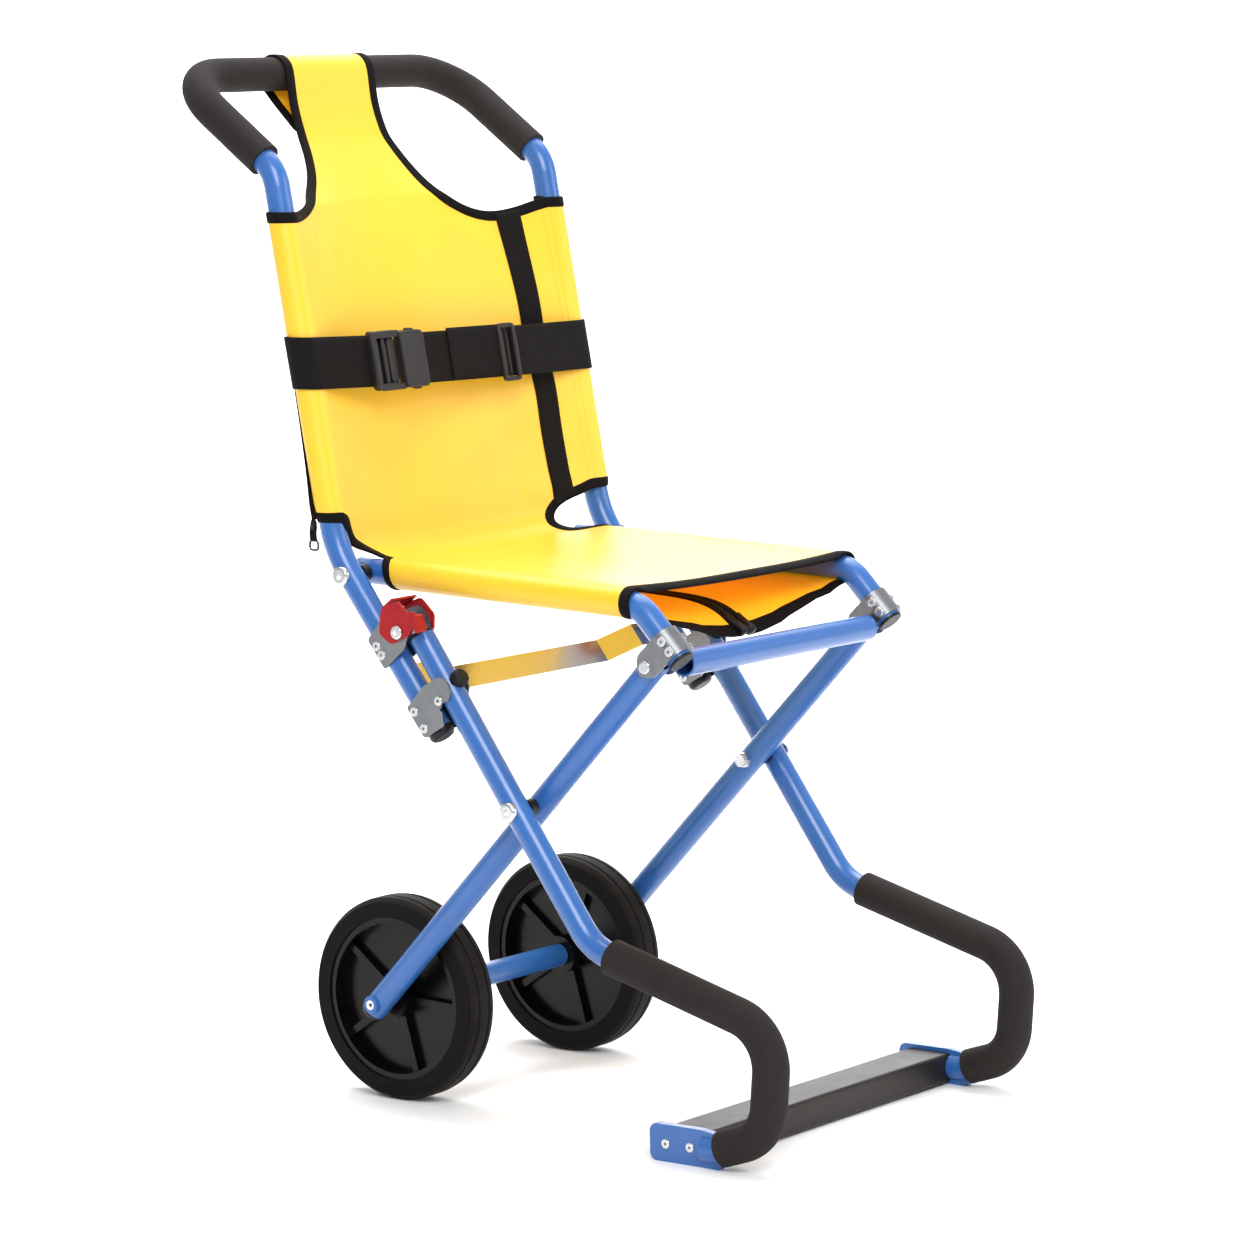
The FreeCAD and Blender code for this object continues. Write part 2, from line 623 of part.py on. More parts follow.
def wheel_hub():
    """Moulded wheel: rim, dished web with five radial ribs on each face, and a hub."""
    centre = -WHEEL_X
    web_half, rib_half, rib_width = 3.0, 10.0, 7.0
    rim_half = WHEEL_WIDTH / 2 - 2
    hub = ring(centre - rim_half, centre + rim_half, RIM_R, RIM_R - 6)
    hub = hub.fuse(ring(centre - web_half, centre + web_half, RIM_R - 5, 14))
    hub = hub.fuse(ring(centre - HUB_HALF, centre + HUB_HALF, 19, 11))
    for step in range(5):
        corner = Vector(centre - rib_half, -rib_width / 2, 17)
        rib = Part.makeBox(2 * rib_half, rib_width, RIM_R - 22, corner)
        rib.rotate(Vector(0, 0, 0), Vector(1, 0, 0), 72 * step + 20)
        rib.translate(spot(0, AXLE))
        hub = hub.fuse(rib)
    return hub.removeSplitter()


def wheel_bush():
    """Plain bush between hub and axle."""
    x0, x1 = -WHEEL_X - HUB_HALF - 0.5, -WHEEL_X + HUB_HALF + 0.5
    return ring(x0, x1, 10.95, AXLE_R + RUN)


def tyre():
    """Solid rubber tyre with a crowned tread and two grooves round it."""
    half = WHEEL_WIDTH / 2
    shoulder = WHEEL_R - 5
    profile = [(-half, RIM_R + 0.05), (-half, shoulder), (-half + 5, WHEEL_R - 0.8), (-9, WHEEL_R),
               (-7.5, WHEEL_R - 2.5), (-6, WHEEL_R), (6, WHEEL_R), (7.5, WHEEL_R - 2.5), (9, WHEEL_R),
               (half - 5, WHEEL_R - 0.8), (half, shoulder), (half, RIM_R + 0.05)]
    points = [Vector(-WHEEL_X + x, 0, radius) for x, radius in profile]
    face = Part.Face(Part.makePolygon(points + points[:1]))
    body = face.revolve(Vector(0, 0, 0), Vector(1, 0, 0), 360)
    body.translate(spot(0, AXLE))
    return body


NODES["wheel_leg_left"] = wheel_leg()
NODES["wheel_leg_right"] = mirrored(wheel_leg())
NODES["wheel_leg_plugs"] = wheel_leg_plugs()
NODES["axle_rod"] = axle_rod()
NODES["axle_caps"] = axle_caps()
NODES["axle_tube"] = axle_tube()
for side, turn in (("left", lambda shape: shape), ("right", mirrored)):
    NODES["wheel_" + side] = turn(wheel_hub())
    NODES["tyre_" + side] = turn(tyre())
    NODES["wheel_bush_" + side] = turn(wheel_bush())

# ---------------------------------------------------------------- fabric
SLEEVE_IN = TUBE_R + 0.4
SLEEVE_OUT = SLEEVE_IN + CLOTH
NECK_CROWN = (0.72, 0.69)         # direction from the handle bar to where the neck meets it
NECK_EDGE = [(156, 0), (120, 0.12), (94, 0.3), (72, 0.6), (NECK_HALF, 1)]


def back_cover():
    """Sling panel on the front of the back frame, with a neck that goes round the handle bar."""
    low, high = COVER_Z
    bottom, foot = upper(low, SLEEVE_IN), upper(high, SLEEVE_IN)
    outline = [bottom, foot, upper(high, SLEEVE_OUT), upper(low, SLEEVE_OUT)]
    panel = prism(-OUTER_X, OUTER_X, outline)
    bar_r = GRIP_R + GAP
    crown = along(HANDLE_BAR, NECK_CROWN, bar_r + CLOTH)
    rise = unit(foot, crown)
    base = spot(0, along(foot, rise, -4))
    tip = spot(0, along(crown, rise, 2))
    right = [base + Vector(half, 0, 0) + (tip - base) * up for half, up in NECK_EDGE]
    left = [base - Vector(half, 0, 0) + (tip - base) * up for half, up in reversed(NECK_EDGE)]
    neck = Part.Face(Part.makePolygon(right + left + right[:1]))
    neck = neck.extrude(Vector(0, rise[1], rise[0]) * -CLOTH)
    loop = pin(-NECK_HALF, NECK_HALF, HANDLE_BAR, bar_r + CLOTH)
    bore = pin(-NECK_HALF - 40, NECK_HALF + 40, HANDLE_BAR, bar_r)
    return panel.fuse(neck).fuse(loop).cut(bore).removeSplitter()


def sleeve_round(start, end, x_plane):
    """Fabric sleeve round a straight tube."""
    a, b = spot(-x_plane, start), spot(-x_plane, end)
    return stick(a, b, SLEEVE_OUT).cut(stick(a, b, SLEEVE_IN))


def back_sleeve():
    """Cover round one side of the back frame, open where the sling panel starts."""
    low, high = COVER_Z
    sleeve = sleeve_round(upper(low, 0), upper(high, 0), OUTER_X)
    n0 = SLEEVE_IN - 0.05
    panel = [upper(low - 20, n0), upper(low - 20, 30), upper(high + 20, 30), upper(high + 20, n0)]
    return sleeve.cut(prism(-OUTER_X, -OUTER_X + 30, panel))


SEAT_FRONT = SEAT_BEND[0] - 16
SEAT_BACK = -128.0


def seat_place(f, n):
    distance = (f - BACK_PIVOT[0]) / SEAT_DIR[0]
    return along(along(BACK_PIVOT, SEAT_DIR, distance), (-SEAT_DIR[1], SEAT_DIR[0]), n)


def seat_panel(n_low, x_half, f_low, f_high):
    places = [seat_place(f_low, n_low), seat_place(f_high, n_low)]
    places += [seat_place(f_high, n_low + CLOTH), seat_place(f_low, n_low + CLOTH)]
    return prism(-x_half, x_half, places)


def seat_sleeve():
    """Outer half turn of the cover round a seat tube."""
    sleeve = sleeve_round(seat_place(SEAT_BACK, 0), seat_place(SEAT_FRONT, 0), INNER_X)
    inboard = [seat_place(SEAT_BACK - 9, -30), seat_place(SEAT_FRONT + 9, -30)]
    inboard += [seat_place(SEAT_FRONT + 9, 30), seat_place(SEAT_BACK - 9, 30)]
    return sleeve.cut(prism(-INNER_X, -INNER_X + 30, inboard))


NODES["back_cover"] = back_cover()
NODES["back_sleeve_left"] = back_sleeve()
NODES["back_sleeve_right"] = mirrored(back_sleeve())
NODES["seat_cover"] = seat_panel(SLEEVE_IN, INNER_X - 0.1, SEAT_BACK, SEAT_FRONT)
NODES["seat_flaps"] = seat_panel(-SLEEVE_OUT, INNER_X - 0.1, SEAT_BACK, SEAT_FRONT)
NODES["seat_sleeve_left"] = seat_sleeve()
NODES["seat_sleeve_right"] = mirrored(seat_sleeve())

# ---------------------------------------------------------------- belt
BELT_IN = SLEEVE_OUT + 0.3
BELT_OUT = BELT_IN + 1.8
BUCKLE_X = (-132.0, -50.0)
BUCKLE_SPLIT = -91.0
ADJUSTER_X = (63.0, 91.0)


def belt_span(x0, x1, n_low, n_high):
    low, high = BELT_Z - BELT_WIDTH / 2, BELT_Z + BELT_WIDTH / 2
    places = [upper(low, n_low), upper(low, n_high), upper(high, n_high), upper(high, n_low)]
    return prism(x0, x1, places)


def belt_wrap():
    """Outer half turn of the belt round one side of the back."""
    low, high = BELT_Z - BELT_WIDTH / 2, BELT_Z + BELT_WIDTH / 2
    a, b = spot(-OUTER_X, upper(low, 0)), spot(-OUTER_X, upper(high, 0))
    wrap = stick(a, b, BELT_OUT).cut(stick(a, b, BELT_IN))
    return wrap.common(belt_span(-OUTER_X - 30, -OUTER_X, -30, 30))


def buckle_half(x0, x1, depth):
    """Moulded buckle half, a little taller than the belt, with softened edges."""
    low, high = BELT_Z - BELT_WIDTH / 2 - 4, BELT_Z + BELT_WIDTH / 2 + 4
    places = [upper(low, BELT_IN), upper(low, BELT_IN + depth)]
    places += [upper(high, BELT_IN + depth), upper(high, BELT_IN)]
    body = prism(x0, x1, places)
    return body.makeFillet(2.4, body.Edges)


left_span = belt_span(-OUTER_X, BUCKLE_X[0] - 0.1, BELT_IN, BELT_OUT)
right_span = belt_span(BUCKLE_X[1] + 0.1, OUTER_X, BELT_IN, BELT_OUT)
NODES["belt_left"] = left_span.fuse(belt_wrap()).removeSplitter()
NODES["belt_right"] = right_span.fuse(mirrored(belt_wrap())).removeSplitter()
NODES["belt_rear"] = belt_span(-OUTER_X + 0.1, OUTER_X - 0.1, -BELT_OUT, -BELT_IN)
NODES["buckle_socket"] = buckle_half(BUCKLE_X[0], BUCKLE_SPLIT - 0.1, 13)
NODES["buckle_plug"] = buckle_half(BUCKLE_SPLIT + 0.1, BUCKLE_X[1], 11)


def belt_adjuster():
    """Three-bar slide that the belt threads through."""
    x0, x1 = ADJUSTER_X
    low, high = BELT_Z - BELT_WIDTH / 2, BELT_Z + BELT_WIDTH / 2
    front = BELT_OUT + 0.3

    def block(xa, xb, za, zb, na, nb):
        return prism(xa, xb, [upper(za, na), upper(za, nb), upper(zb, nb), upper(zb, na)])

    body = block(x0, x1, low - 5, high + 5, front, front + 4)
    for xa in (x0 + 6, x0 + 18):
        body = body.cut(block(xa, xa + 6, low - 0.5, high + 0.5, front - 1, front + 5))
    return body


NODES["belt_adjuster"] = belt_adjuster()

# ---------------------------------------------------------------- output
os.makedirs("parts", exist_ok=True)
for node, shape in NODES.items():
    shape.exportStep("parts/" + node + ".step")
    box = shape.BoundBox
    print("%-22s solids %2d valid %s volume %9.0f  x %.0f..%.0f  y %.0f..%.0f  z %.1f..%.1f" % (
        node, len(shape.Solids), shape.isValid(), shape.Volume,
        box.XMin, box.XMax, box.YMin, box.YMax, box.ZMin, box.ZMax))
print(len(NODES), "nodes")
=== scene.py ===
# %% [markdown]
# A folding stair chair: blue tubes, black foam grips, and a sling of yellow coated cloth.
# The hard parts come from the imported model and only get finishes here. The sling, its
# bindings, the belt and its buckle are made here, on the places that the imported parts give.

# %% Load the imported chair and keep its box
import json
import math
import bmesh
import bpy
import numpy as np
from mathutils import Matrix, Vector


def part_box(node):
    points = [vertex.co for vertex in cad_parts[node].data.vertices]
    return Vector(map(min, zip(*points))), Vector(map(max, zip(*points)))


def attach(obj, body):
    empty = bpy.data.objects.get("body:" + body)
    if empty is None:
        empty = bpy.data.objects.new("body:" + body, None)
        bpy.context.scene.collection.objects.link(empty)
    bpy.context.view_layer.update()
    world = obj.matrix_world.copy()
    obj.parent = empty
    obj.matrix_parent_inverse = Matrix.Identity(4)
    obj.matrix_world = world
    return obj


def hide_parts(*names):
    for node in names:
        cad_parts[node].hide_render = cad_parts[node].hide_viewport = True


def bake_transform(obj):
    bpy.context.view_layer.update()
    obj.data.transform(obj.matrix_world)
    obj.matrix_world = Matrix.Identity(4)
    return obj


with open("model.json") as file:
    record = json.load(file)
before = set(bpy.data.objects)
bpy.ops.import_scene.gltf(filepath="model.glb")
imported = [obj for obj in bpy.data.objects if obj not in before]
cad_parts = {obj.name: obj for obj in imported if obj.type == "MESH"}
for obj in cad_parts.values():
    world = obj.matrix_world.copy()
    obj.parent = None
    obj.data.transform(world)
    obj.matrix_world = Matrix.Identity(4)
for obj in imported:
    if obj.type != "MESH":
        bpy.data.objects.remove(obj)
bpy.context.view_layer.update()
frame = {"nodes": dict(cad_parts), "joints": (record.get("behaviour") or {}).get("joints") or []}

# %% [markdown]
# The chair stands on a plain pale floor that rises softly into a wall. One strip carried along
# the width does for both, and the bend is a quarter circle so that no line shows behind the chair.

# %% Helpers: a grid of points becomes a mesh object
def arrays_to_mesh(name, points, faces, uv=None):
    """A mesh object from points, as a list or a whole grid of them, and four-cornered faces (m, 4).
    uv holds one pair of numbers for each point, and a face's corner takes its point's pair."""
    mesh = bpy.data.meshes.new(name)
    mesh.from_pydata(points.reshape(-1, 3).tolist(), [], faces.tolist())
    mesh.polygons.foreach_set("use_smooth", np.ones(len(mesh.polygons), bool))
    if uv is not None:
        corner = np.empty(len(mesh.loops), np.int32)
        mesh.loops.foreach_get("vertex_index", corner)
        layer = mesh.uv_layers.new(name="cut")
        layer.data.foreach_set("uv", uv.reshape(-1, 2)[corner].astype(np.float32).ravel())
    mesh.validate()
    mesh.update()
    obj = bpy.data.objects.new(name, mesh)
    bpy.context.scene.collection.objects.link(obj)
    return obj


def grid_faces(rows, cols, wrap_rows=False, wrap_cols=False):
    """Every cell of a grid of rows x cols points as four point numbers. A wrapped side joins the
    last line of points to the first."""
    i = np.arange(rows if wrap_rows else rows - 1)
    j = np.arange(cols if wrap_cols else cols - 1)
    i, j = np.meshgrid(i, j, indexing="ij")
    up, right = (i + 1) % rows, (j + 1) % cols
    corners = [i * cols + j, i * cols + right, up * cols + right, up * cols + j]
    return np.stack(corners, -1).reshape(-1, 4)


def unit(v):
    """Each vector divided by its own length."""
    return v / np.maximum(np.linalg.norm(v, axis=-1, keepdims=True), 1e-12)


def thicken(obj, thick):
    """Give a sheet its thickness in metres, half of it on each side."""
    wall = obj.modifiers.new("thickness", "SOLIDIFY")
    wall.thickness, wall.offset = thick, 0.0
    return wall


def turn_outwards(obj, merge=0.0):
    """Turn the faces of a skin away from its inside. Points nearer to one another than merge
    become one point first."""
    m = bmesh.new()
    m.from_mesh(obj.data)
    if merge:
        bmesh.ops.remove_doubles(m, verts=m.verts, dist=merge)
    bmesh.ops.recalc_face_normals(m, faces=m.faces)
    m.to_mesh(obj.data)
    m.free()


# %% Floor and wall in one sheet
turn = np.linspace(0, np.pi / 2, 24)
BEND_AT, BEND_R = 4.0, 2.0
bend_run = np.stack([BEND_AT + BEND_R * np.sin(turn), BEND_R - BEND_R * np.cos(turn)], 1)
run = np.concatenate([[[-9.0, 0.0]], bend_run, [[BEND_AT + BEND_R, 9.0]]])
across = np.linspace(-12, 12, 3)
# The strip's run points away from the viewer, along the line from the lens to the chair.
VIEW_AZ = math.radians(-52.73)
ahead = np.array([-math.sin(VIEW_AZ), math.cos(VIEW_AZ)])
side = np.array([math.cos(VIEW_AZ), math.sin(VIEW_AZ)])
flat = run[:, None, :1] * ahead + across[None, :, None] * side
floor_points = np.concatenate([flat, np.broadcast_to(run[:, None, 1:], flat.shape[:2] + (1,))], -1)
floor = arrays_to_mesh("studio_floor", floor_points, grid_faces(len(run), len(across)))
print("floor strip", floor_points.shape)

# %% [markdown]
# Light in a product studio is large and soft: a wide key panel high on the left of the chair, a
# weaker fill from the right, one overhead, and a strong one that burns the wall out to white. A
# bright even surround lifts the shadows.

# %% Soft panels, the surround, and the camera
def panel(name, place, aim, size, watts, tint=(1, 1, 1)):
    """A square area light at one point that faces another."""
    data = bpy.data.lights.new(name, "AREA")
    data.shape, data.size, data.energy, data.color = "SQUARE", size, watts, tint
    lamp = bpy.data.objects.new(name, data)
    back = unit(np.array(place, float) - np.array(aim, float))
    right = unit(np.cross([0, 0, 1], back))
    up = np.cross(back, right)
    lamp.matrix_world = [[*right, 0], [*up, 0], [*back, 0], [*place, 1]]
    bpy.context.scene.collection.objects.link(lamp)
    return lamp


panel("key_panel", (-2.9, -2.6, 3.3), (0, 0, 0.6), 2.2, 150)
panel("fill_panel", (2.4, -3.6, 1.9), (0, 0, 0.5), 2.4, 48)
panel("top_panel", (0.2, 0.6, 3.6), (0, 0, 0.3), 2.4, 66)
panel("wall_panel", tuple(2.2 * ahead) + (4.6,), tuple(6.0 * ahead) + (1.6,), 4.0, 520)

world = bpy.data.worlds.new("studio_surround")
bpy.context.scene.world = world
world.use_nodes = True
surround = world.node_tree.nodes["Background"].inputs
surround["Color"].default_value, surround["Strength"].default_value = (1, 1, 1, 1), 0.5

EL, ROLL = math.radians(7.21), math.radians(-0.95)
EYE = (-3.582, -2.7635, 1.026)
back = np.array([math.sin(VIEW_AZ) * math.cos(EL), -math.cos(VIEW_AZ) * math.cos(EL), math.sin(EL)])
right = np.array([math.cos(VIEW_AZ), math.sin(VIEW_AZ), 0.0])
up = np.cross(back, right)
lens = bpy.data.cameras.new("camera")
lens.lens, lens.sensor_width = 134.6, 36.0
lens.clip_end = 60
camera = bpy.data.objects.new("camera", lens)
right, up = (right * math.cos(ROLL) + up * math.sin(ROLL),
             -right * math.sin(ROLL) + up * math.cos(ROLL))
camera.matrix_world = [[*right, 0], [*up, 0], [*back, 0], [*EYE, 1]]
bpy.context.scene.collection.objects.link(camera)
bpy.context.scene.camera = camera
bpy.context.scene.view_settings.view_transform = "Standard"
print("camera", [round(v, 3) for v in camera.matrix_world.translation])

# %% [markdown]
# Finishes are written as short sums. A small class wraps a node's output, so that adding or
# multiplying two of them adds the Math nodes, and one method makes any other node.

# %% A socket that can be added and multiplied, and one way to make a node
class Wire:
    """A node's output. Arithmetic on it adds Math nodes to its tree."""

    def __init__(self, tree, socket):
        self.tree, self.socket = tree, socket

    def _sum(self, kind, a, b=None):
        return self.tree.node("Math", {"operation": kind}, {0: a} if b is None else {0: a, 1: b})

    def __add__(self, o): return self._sum("ADD", self, o)
    def __radd__(self, o): return self._sum("ADD", o, self)
    def __sub__(self, o): return self._sum("SUBTRACT", self, o)
    def __mul__(self, o): return self._sum("MULTIPLY", self, o)
    def __rmul__(self, o): return self._sum("MULTIPLY", o, self)
    def __mod__(self, o): return self._sum("FLOORED_MODULO", self, o)
    def __lt__(self, o): return self._sum("LESS_THAN", self, o)
    def __gt__(self, o): return self._sum("GREATER_THAN", self, o)
    def __abs__(self): return self._sum("ABSOLUTE", self)
    def sine(self): return self._sum("SINE", self)
    def power(self, o): return self._sum("POWER", self, o)


class Finish:
    """One material with its Principled shader. node() makes a node: its type first, then its
    settings, then the values or wires of its sockets, and it gives back one output."""

    def __init__(self, name, **shader):
        self.material = bpy.data.materials.new(name)
        self.material.use_nodes = True
        self.nodes, self.links = self.material.node_tree.nodes, self.material.node_tree.links
        self.shader = self.nodes["Principled BSDF"]
        for key, value in shader.items():
            self.shader.inputs[key.replace("_", " ")].default_value = value

    def node(self, kind, settings=None, inputs=None, out=0):
        made = self.nodes.new("ShaderNode" + kind)
        for key, value in (settings or {}).items():
            if key == "stops":
                ramp = made.color_ramp.elements
                while len(ramp) < len(value):
                    ramp.new(0.5)
                for stop, (place, colour) in zip(ramp, value):
                    stop.position, stop.color = place, (*colour, 1)
            else:
                setattr(made, key, value)
        for key, value in (inputs or {}).items():
            if isinstance(value, Wire):
                self.links.new(value.socket, made.inputs[key])
            else:
                made.inputs[key].default_value = value
        return Wire(self, made.outputs[out])

    def place(self):
        """The point on the object, in metres."""
        return self.node("TexCoord", out="Object")

    def cut(self):
        """The point on the piece's own flat cut, in metres."""
        return self.node("UVMap", {"uv_map": "cut"})

    def parts(self, point):
        """x, y and z of a point as three wires."""
        split = self.nodes.new("ShaderNodeSeparateXYZ")
        self.links.new(point.socket, split.inputs[0])
        return [Wire(self, o) for o in split.outputs]

    def noise(self, point, scale, detail=3.0, rough=0.55):
        """Soft random blotches, 0 to 1, with so many per metre."""
        return self.node("TexNoise", {}, {"Vector": point, "Scale": scale, "Detail": detail,
                                          "Roughness": rough})

    def ramp(self, value, *stops):
        """A number turned into a colour by stops of (place, colour)."""
        return self.node("ValToRGB", {"stops": stops}, {"Fac": value})

    def mix(self, factor, a, b):
        """Colour a where the factor is 0 and colour b where it is 1."""
        a, b = ((*k, 1) if isinstance(k, tuple) else k for k in (a, b))
        return self.node("Mix", {"data_type": "RGBA"}, {0: factor, 6: a, 7: b}, out=2)

    def bump(self, height, strength, distance):
        """A surface normal that leans with the height."""
        return self.node("Bump", {}, {"Strength": strength, "Distance": distance, "Height": height})

    def feed(self, **wires):
        """Join wires to the shader's own sockets."""
        for key, wire in wires.items():
            self.links.new(wire.socket, self.shader.inputs[key.replace("_", " ")])
        return self.material


finishes = {}
BLACK, WHITE = (0, 0, 0), (1, 1, 1)


def paper():
    """Seamless studio paper: near white, quite matt, with a trace of tone."""
    f = Finish("studio_paper", IOR=1.3)
    cloud = f.noise(f.place(), 1.5, 2.0)
    colour = f.mix(cloud, (0.93, 0.93, 0.93), (0.96, 0.96, 0.96))
    return f.feed(Base_Color=colour, Roughness=0.8 + cloud * 0.1)


floor.data.materials.append(paper())
print("finish tools ready")

# %% [markdown]
# The tubes are powder coated: a gloss blue that melted on as powder, so its skin has the gentle
# ripple of orange peel, a little darker and duller where hands and straps have rubbed it.

# %% Blue powder coat
BLUE_DEEP, BLUE_BRIGHT = (0.019, 0.104, 0.355), (0.034, 0.142, 0.44)


def powder_coat():
    f = Finish("frame_blue", IOR=1.5, Coat_Weight=0.35, Coat_Roughness=0.12)
    at = f.place()
    peel = f.noise(at, 900.0, 2.0)
    cloud = f.noise(at, 14.0, 4.0)
    scuff = f.ramp(f.noise(at, 160.0, 6.0, 0.7), (0.66, BLACK), (0.74, WHITE))
    colour = f.mix(cloud, BLUE_DEEP, BLUE_BRIGHT)
    colour = f.mix(scuff * 0.25, colour, (0.10, 0.22, 0.52))
    return f.feed(Base_Color=colour, Roughness=0.26 + cloud * 0.08 + scuff * 0.12,
                  Normal=f.bump(peel, 0.24, 0.0006))


finishes["frame_blue"] = powder_coat()
print("frame_blue")

# %% [markdown]
# The grips are closed-cell foam hose: charcoal, quite matt, with tiny broken bubbles all over
# and a slightly paler bloom where it has been handled.

# %% Foam, rubber and moulded plastic
def foam():
    f = Finish("grip_foam", IOR=1.32)
    at = f.place()
    bubbles = f.node("TexVoronoi", {}, {"Vector": at, "Scale": 1100.0}, out="Distance")
    cloud = f.noise(at, 30.0, 5.0)
    colour = f.mix(cloud, (0.0125, 0.0095, 0.009), (0.026, 0.0205, 0.0195))
    colour = f.mix((bubbles < 0.22) * 0.55, colour, (0.006, 0.006, 0.006))
    return f.feed(Base_Color=colour, Roughness=0.74 + cloud * 0.16,
                  Normal=f.bump(bubbles, 0.35, 0.0005))


def moulded(name, dark, pale, shine, grain=1500.0, strength=0.12):
    """Moulded plastic or rubber: fine spark-eroded grain over a soft cloud of tone."""
    f = Finish(name, IOR=1.38)
    at = f.place()
    fine, cloud = f.noise(at, grain, 2.0), f.noise(at, 45.0, 4.0)
    return f.feed(Base_Color=f.mix(cloud, dark, pale), Roughness=shine + cloud * 0.14,
                  Normal=f.bump(fine, strength, 0.0003))


finishes["grip_foam"] = foam()
# name: dark tone, pale tone, roughness, grains per metre, depth of the grain
for name, look in {
    "cap_black": ((0.004, 0.004, 0.0045), (0.009, 0.009, 0.010), 0.34),
    "rubber_black": ((0.004, 0.004, 0.004), (0.009, 0.009, 0.009), 0.55, 900.0, 0.25),
    "buckle_plastic": ((0.010, 0.009, 0.009), (0.022, 0.019, 0.019), 0.34, 1300.0, 0.2),
    "latch_red": ((0.29, 0.004, 0.006), (0.41, 0.008, 0.010), 0.22, 700.0, 0.06),
    "crossbar_dark": ((0.008, 0.0055, 0.005), (0.020, 0.014, 0.012), 0.34, 800.0, 0.16),
}.items():
    finishes[name] = moulded(name, *look)
print("foam and plastics")

# %% [markdown]
# The brackets are sheet steel with a dull grey zinc skin, the rivets and bolts a brighter one,
# and the flat bar between the sides is polished. Brushing runs along each piece, so the noise is
# squeezed in one direction to make streaks.

# %% Zinc, rivets and the polished bar
def metal(name, dark, pale, shine, stretch, scale, strength, spots=0.0):
    """Metal with fine streaks: noise whose space is stretched along one axis."""
    f = Finish(name, Metallic=1.0)
    at = f.place()
    streak = f.noise(f.node("Mapping", {}, {"Vector": at, "Scale": stretch}), scale, 3.0)
    cloud = f.noise(at, 60.0, 4.0)
    colour = f.mix(cloud * 0.6 + streak * 0.4, dark, pale)
    if spots:
        stain = f.ramp(f.noise(at, 220.0, 5.0, 0.7), (0.62, BLACK), (0.70, WHITE))
        colour = f.mix(stain * spots, colour, (0.09, 0.085, 0.08))
    return f.feed(Base_Color=colour, Roughness=shine + streak * 0.14,
                  Normal=f.bump(streak, strength, 0.0003))


# name: dark tone, pale tone, roughness, stretch of the streaks, streaks per metre, depth, stains
for name, look in {
    "bracket_steel": ((0.19, 0.20, 0.215), (0.33, 0.34, 0.355), 0.34, (1, 1, 0.15), 500.0, 0.2, 0.3),
    "rivet_zinc": ((0.58, 0.59, 0.60), (0.82, 0.83, 0.85), 0.20, (1, 1, 1), 600.0, 0.12, 0.25),
    "strip_steel": ((0.66, 0.64, 0.62), (0.82, 0.80, 0.78), 0.13, (0.04, 1, 1), 900.0, 0.08),
}.items():
    finishes[name] = metal(name, *look)
print("metals")

# %% [markdown]
# The wheels are gloss black mouldings whose skin shows faint flow marks round the hub. The
# tyres are solid rubber, duller, with dust on the tread and fine rings left by the mould.

# %% Wheel and tyre
AXLE_Y, AXLE_Z = [(a + b) / 2 for a, b in list(zip(*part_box("tyre_left")))[1:]]
TREAD_FROM = 0.0965


def from_axle(f):
    """Distance of a point from the line of the axle."""
    _, y, z = f.parts(f.place())
    y, z = y - AXLE_Y, z - AXLE_Z
    return (y * y + z * z).power(0.5)


def wheel_finish():
    f = Finish("wheel_plastic", IOR=1.3)
    flow = f.noise(f.place(), 26.0, 5.0)
    ring = (from_axle(f) * 1400.0).sine()
    return f.feed(Base_Color=f.mix(flow, (0.0012, 0.0012, 0.0014), (0.0035, 0.0033, 0.0035)),
                  Roughness=0.17 + flow * 0.16, Normal=f.bump(ring * 0.2 + flow, 0.08, 0.0006))


def tyre_finish():
    f = Finish("tyre_rubber", IOR=1.2)
    at, out = f.place(), from_axle(f)
    grit, cloud = f.noise(at, 900.0, 3.0), f.noise(at, 35.0, 5.0)
    tread = (out > TREAD_FROM) * cloud
    colour = f.mix(cloud, (0.0022, 0.0019, 0.0019), (0.006, 0.0052, 0.005))
    colour = f.mix(tread * 0.5, colour, (0.026, 0.021, 0.019))
    return f.feed(Base_Color=colour, Roughness=0.52 + grit * 0.2,
                  Normal=f.bump((out * 2600.0).sine() * 0.3 + grit, 0.2, 0.0004))


def axle_end_finish():
    """The painted end of the axle with a small bright rivet head in its middle and a dark eye."""
    f = Finish("axle_end", IOR=1.5)
    out, cloud = from_axle(f), f.noise(f.place(), 200.0, 3.0)
    head, eye = out < 0.0046, out < 0.0016
    colour = f.mix(head, f.mix(cloud, BLUE_DEEP, BLUE_BRIGHT), (0.72, 0.73, 0.75))
    colour = f.mix(eye, colour, (0.02, 0.02, 0.02))
    return f.feed(Base_Color=colour, Metallic=head * 1.0, Roughness=0.24 + cloud * 0.1,
                  Normal=f.bump(head - eye * 1.5, 0.5, 0.0006))


finishes["wheel_plastic"], finishes["tyre_rubber"] = wheel_finish(), tyre_finish()
finishes["axle_end"] = axle_end_finish()
print("axle at", round(AXLE_Y, 4), round(AXLE_Z, 4))

# %% [markdown]
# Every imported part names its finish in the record, so one loop hands them out. The material goes
# into the slot that each part already has, and the part itself is left alone.

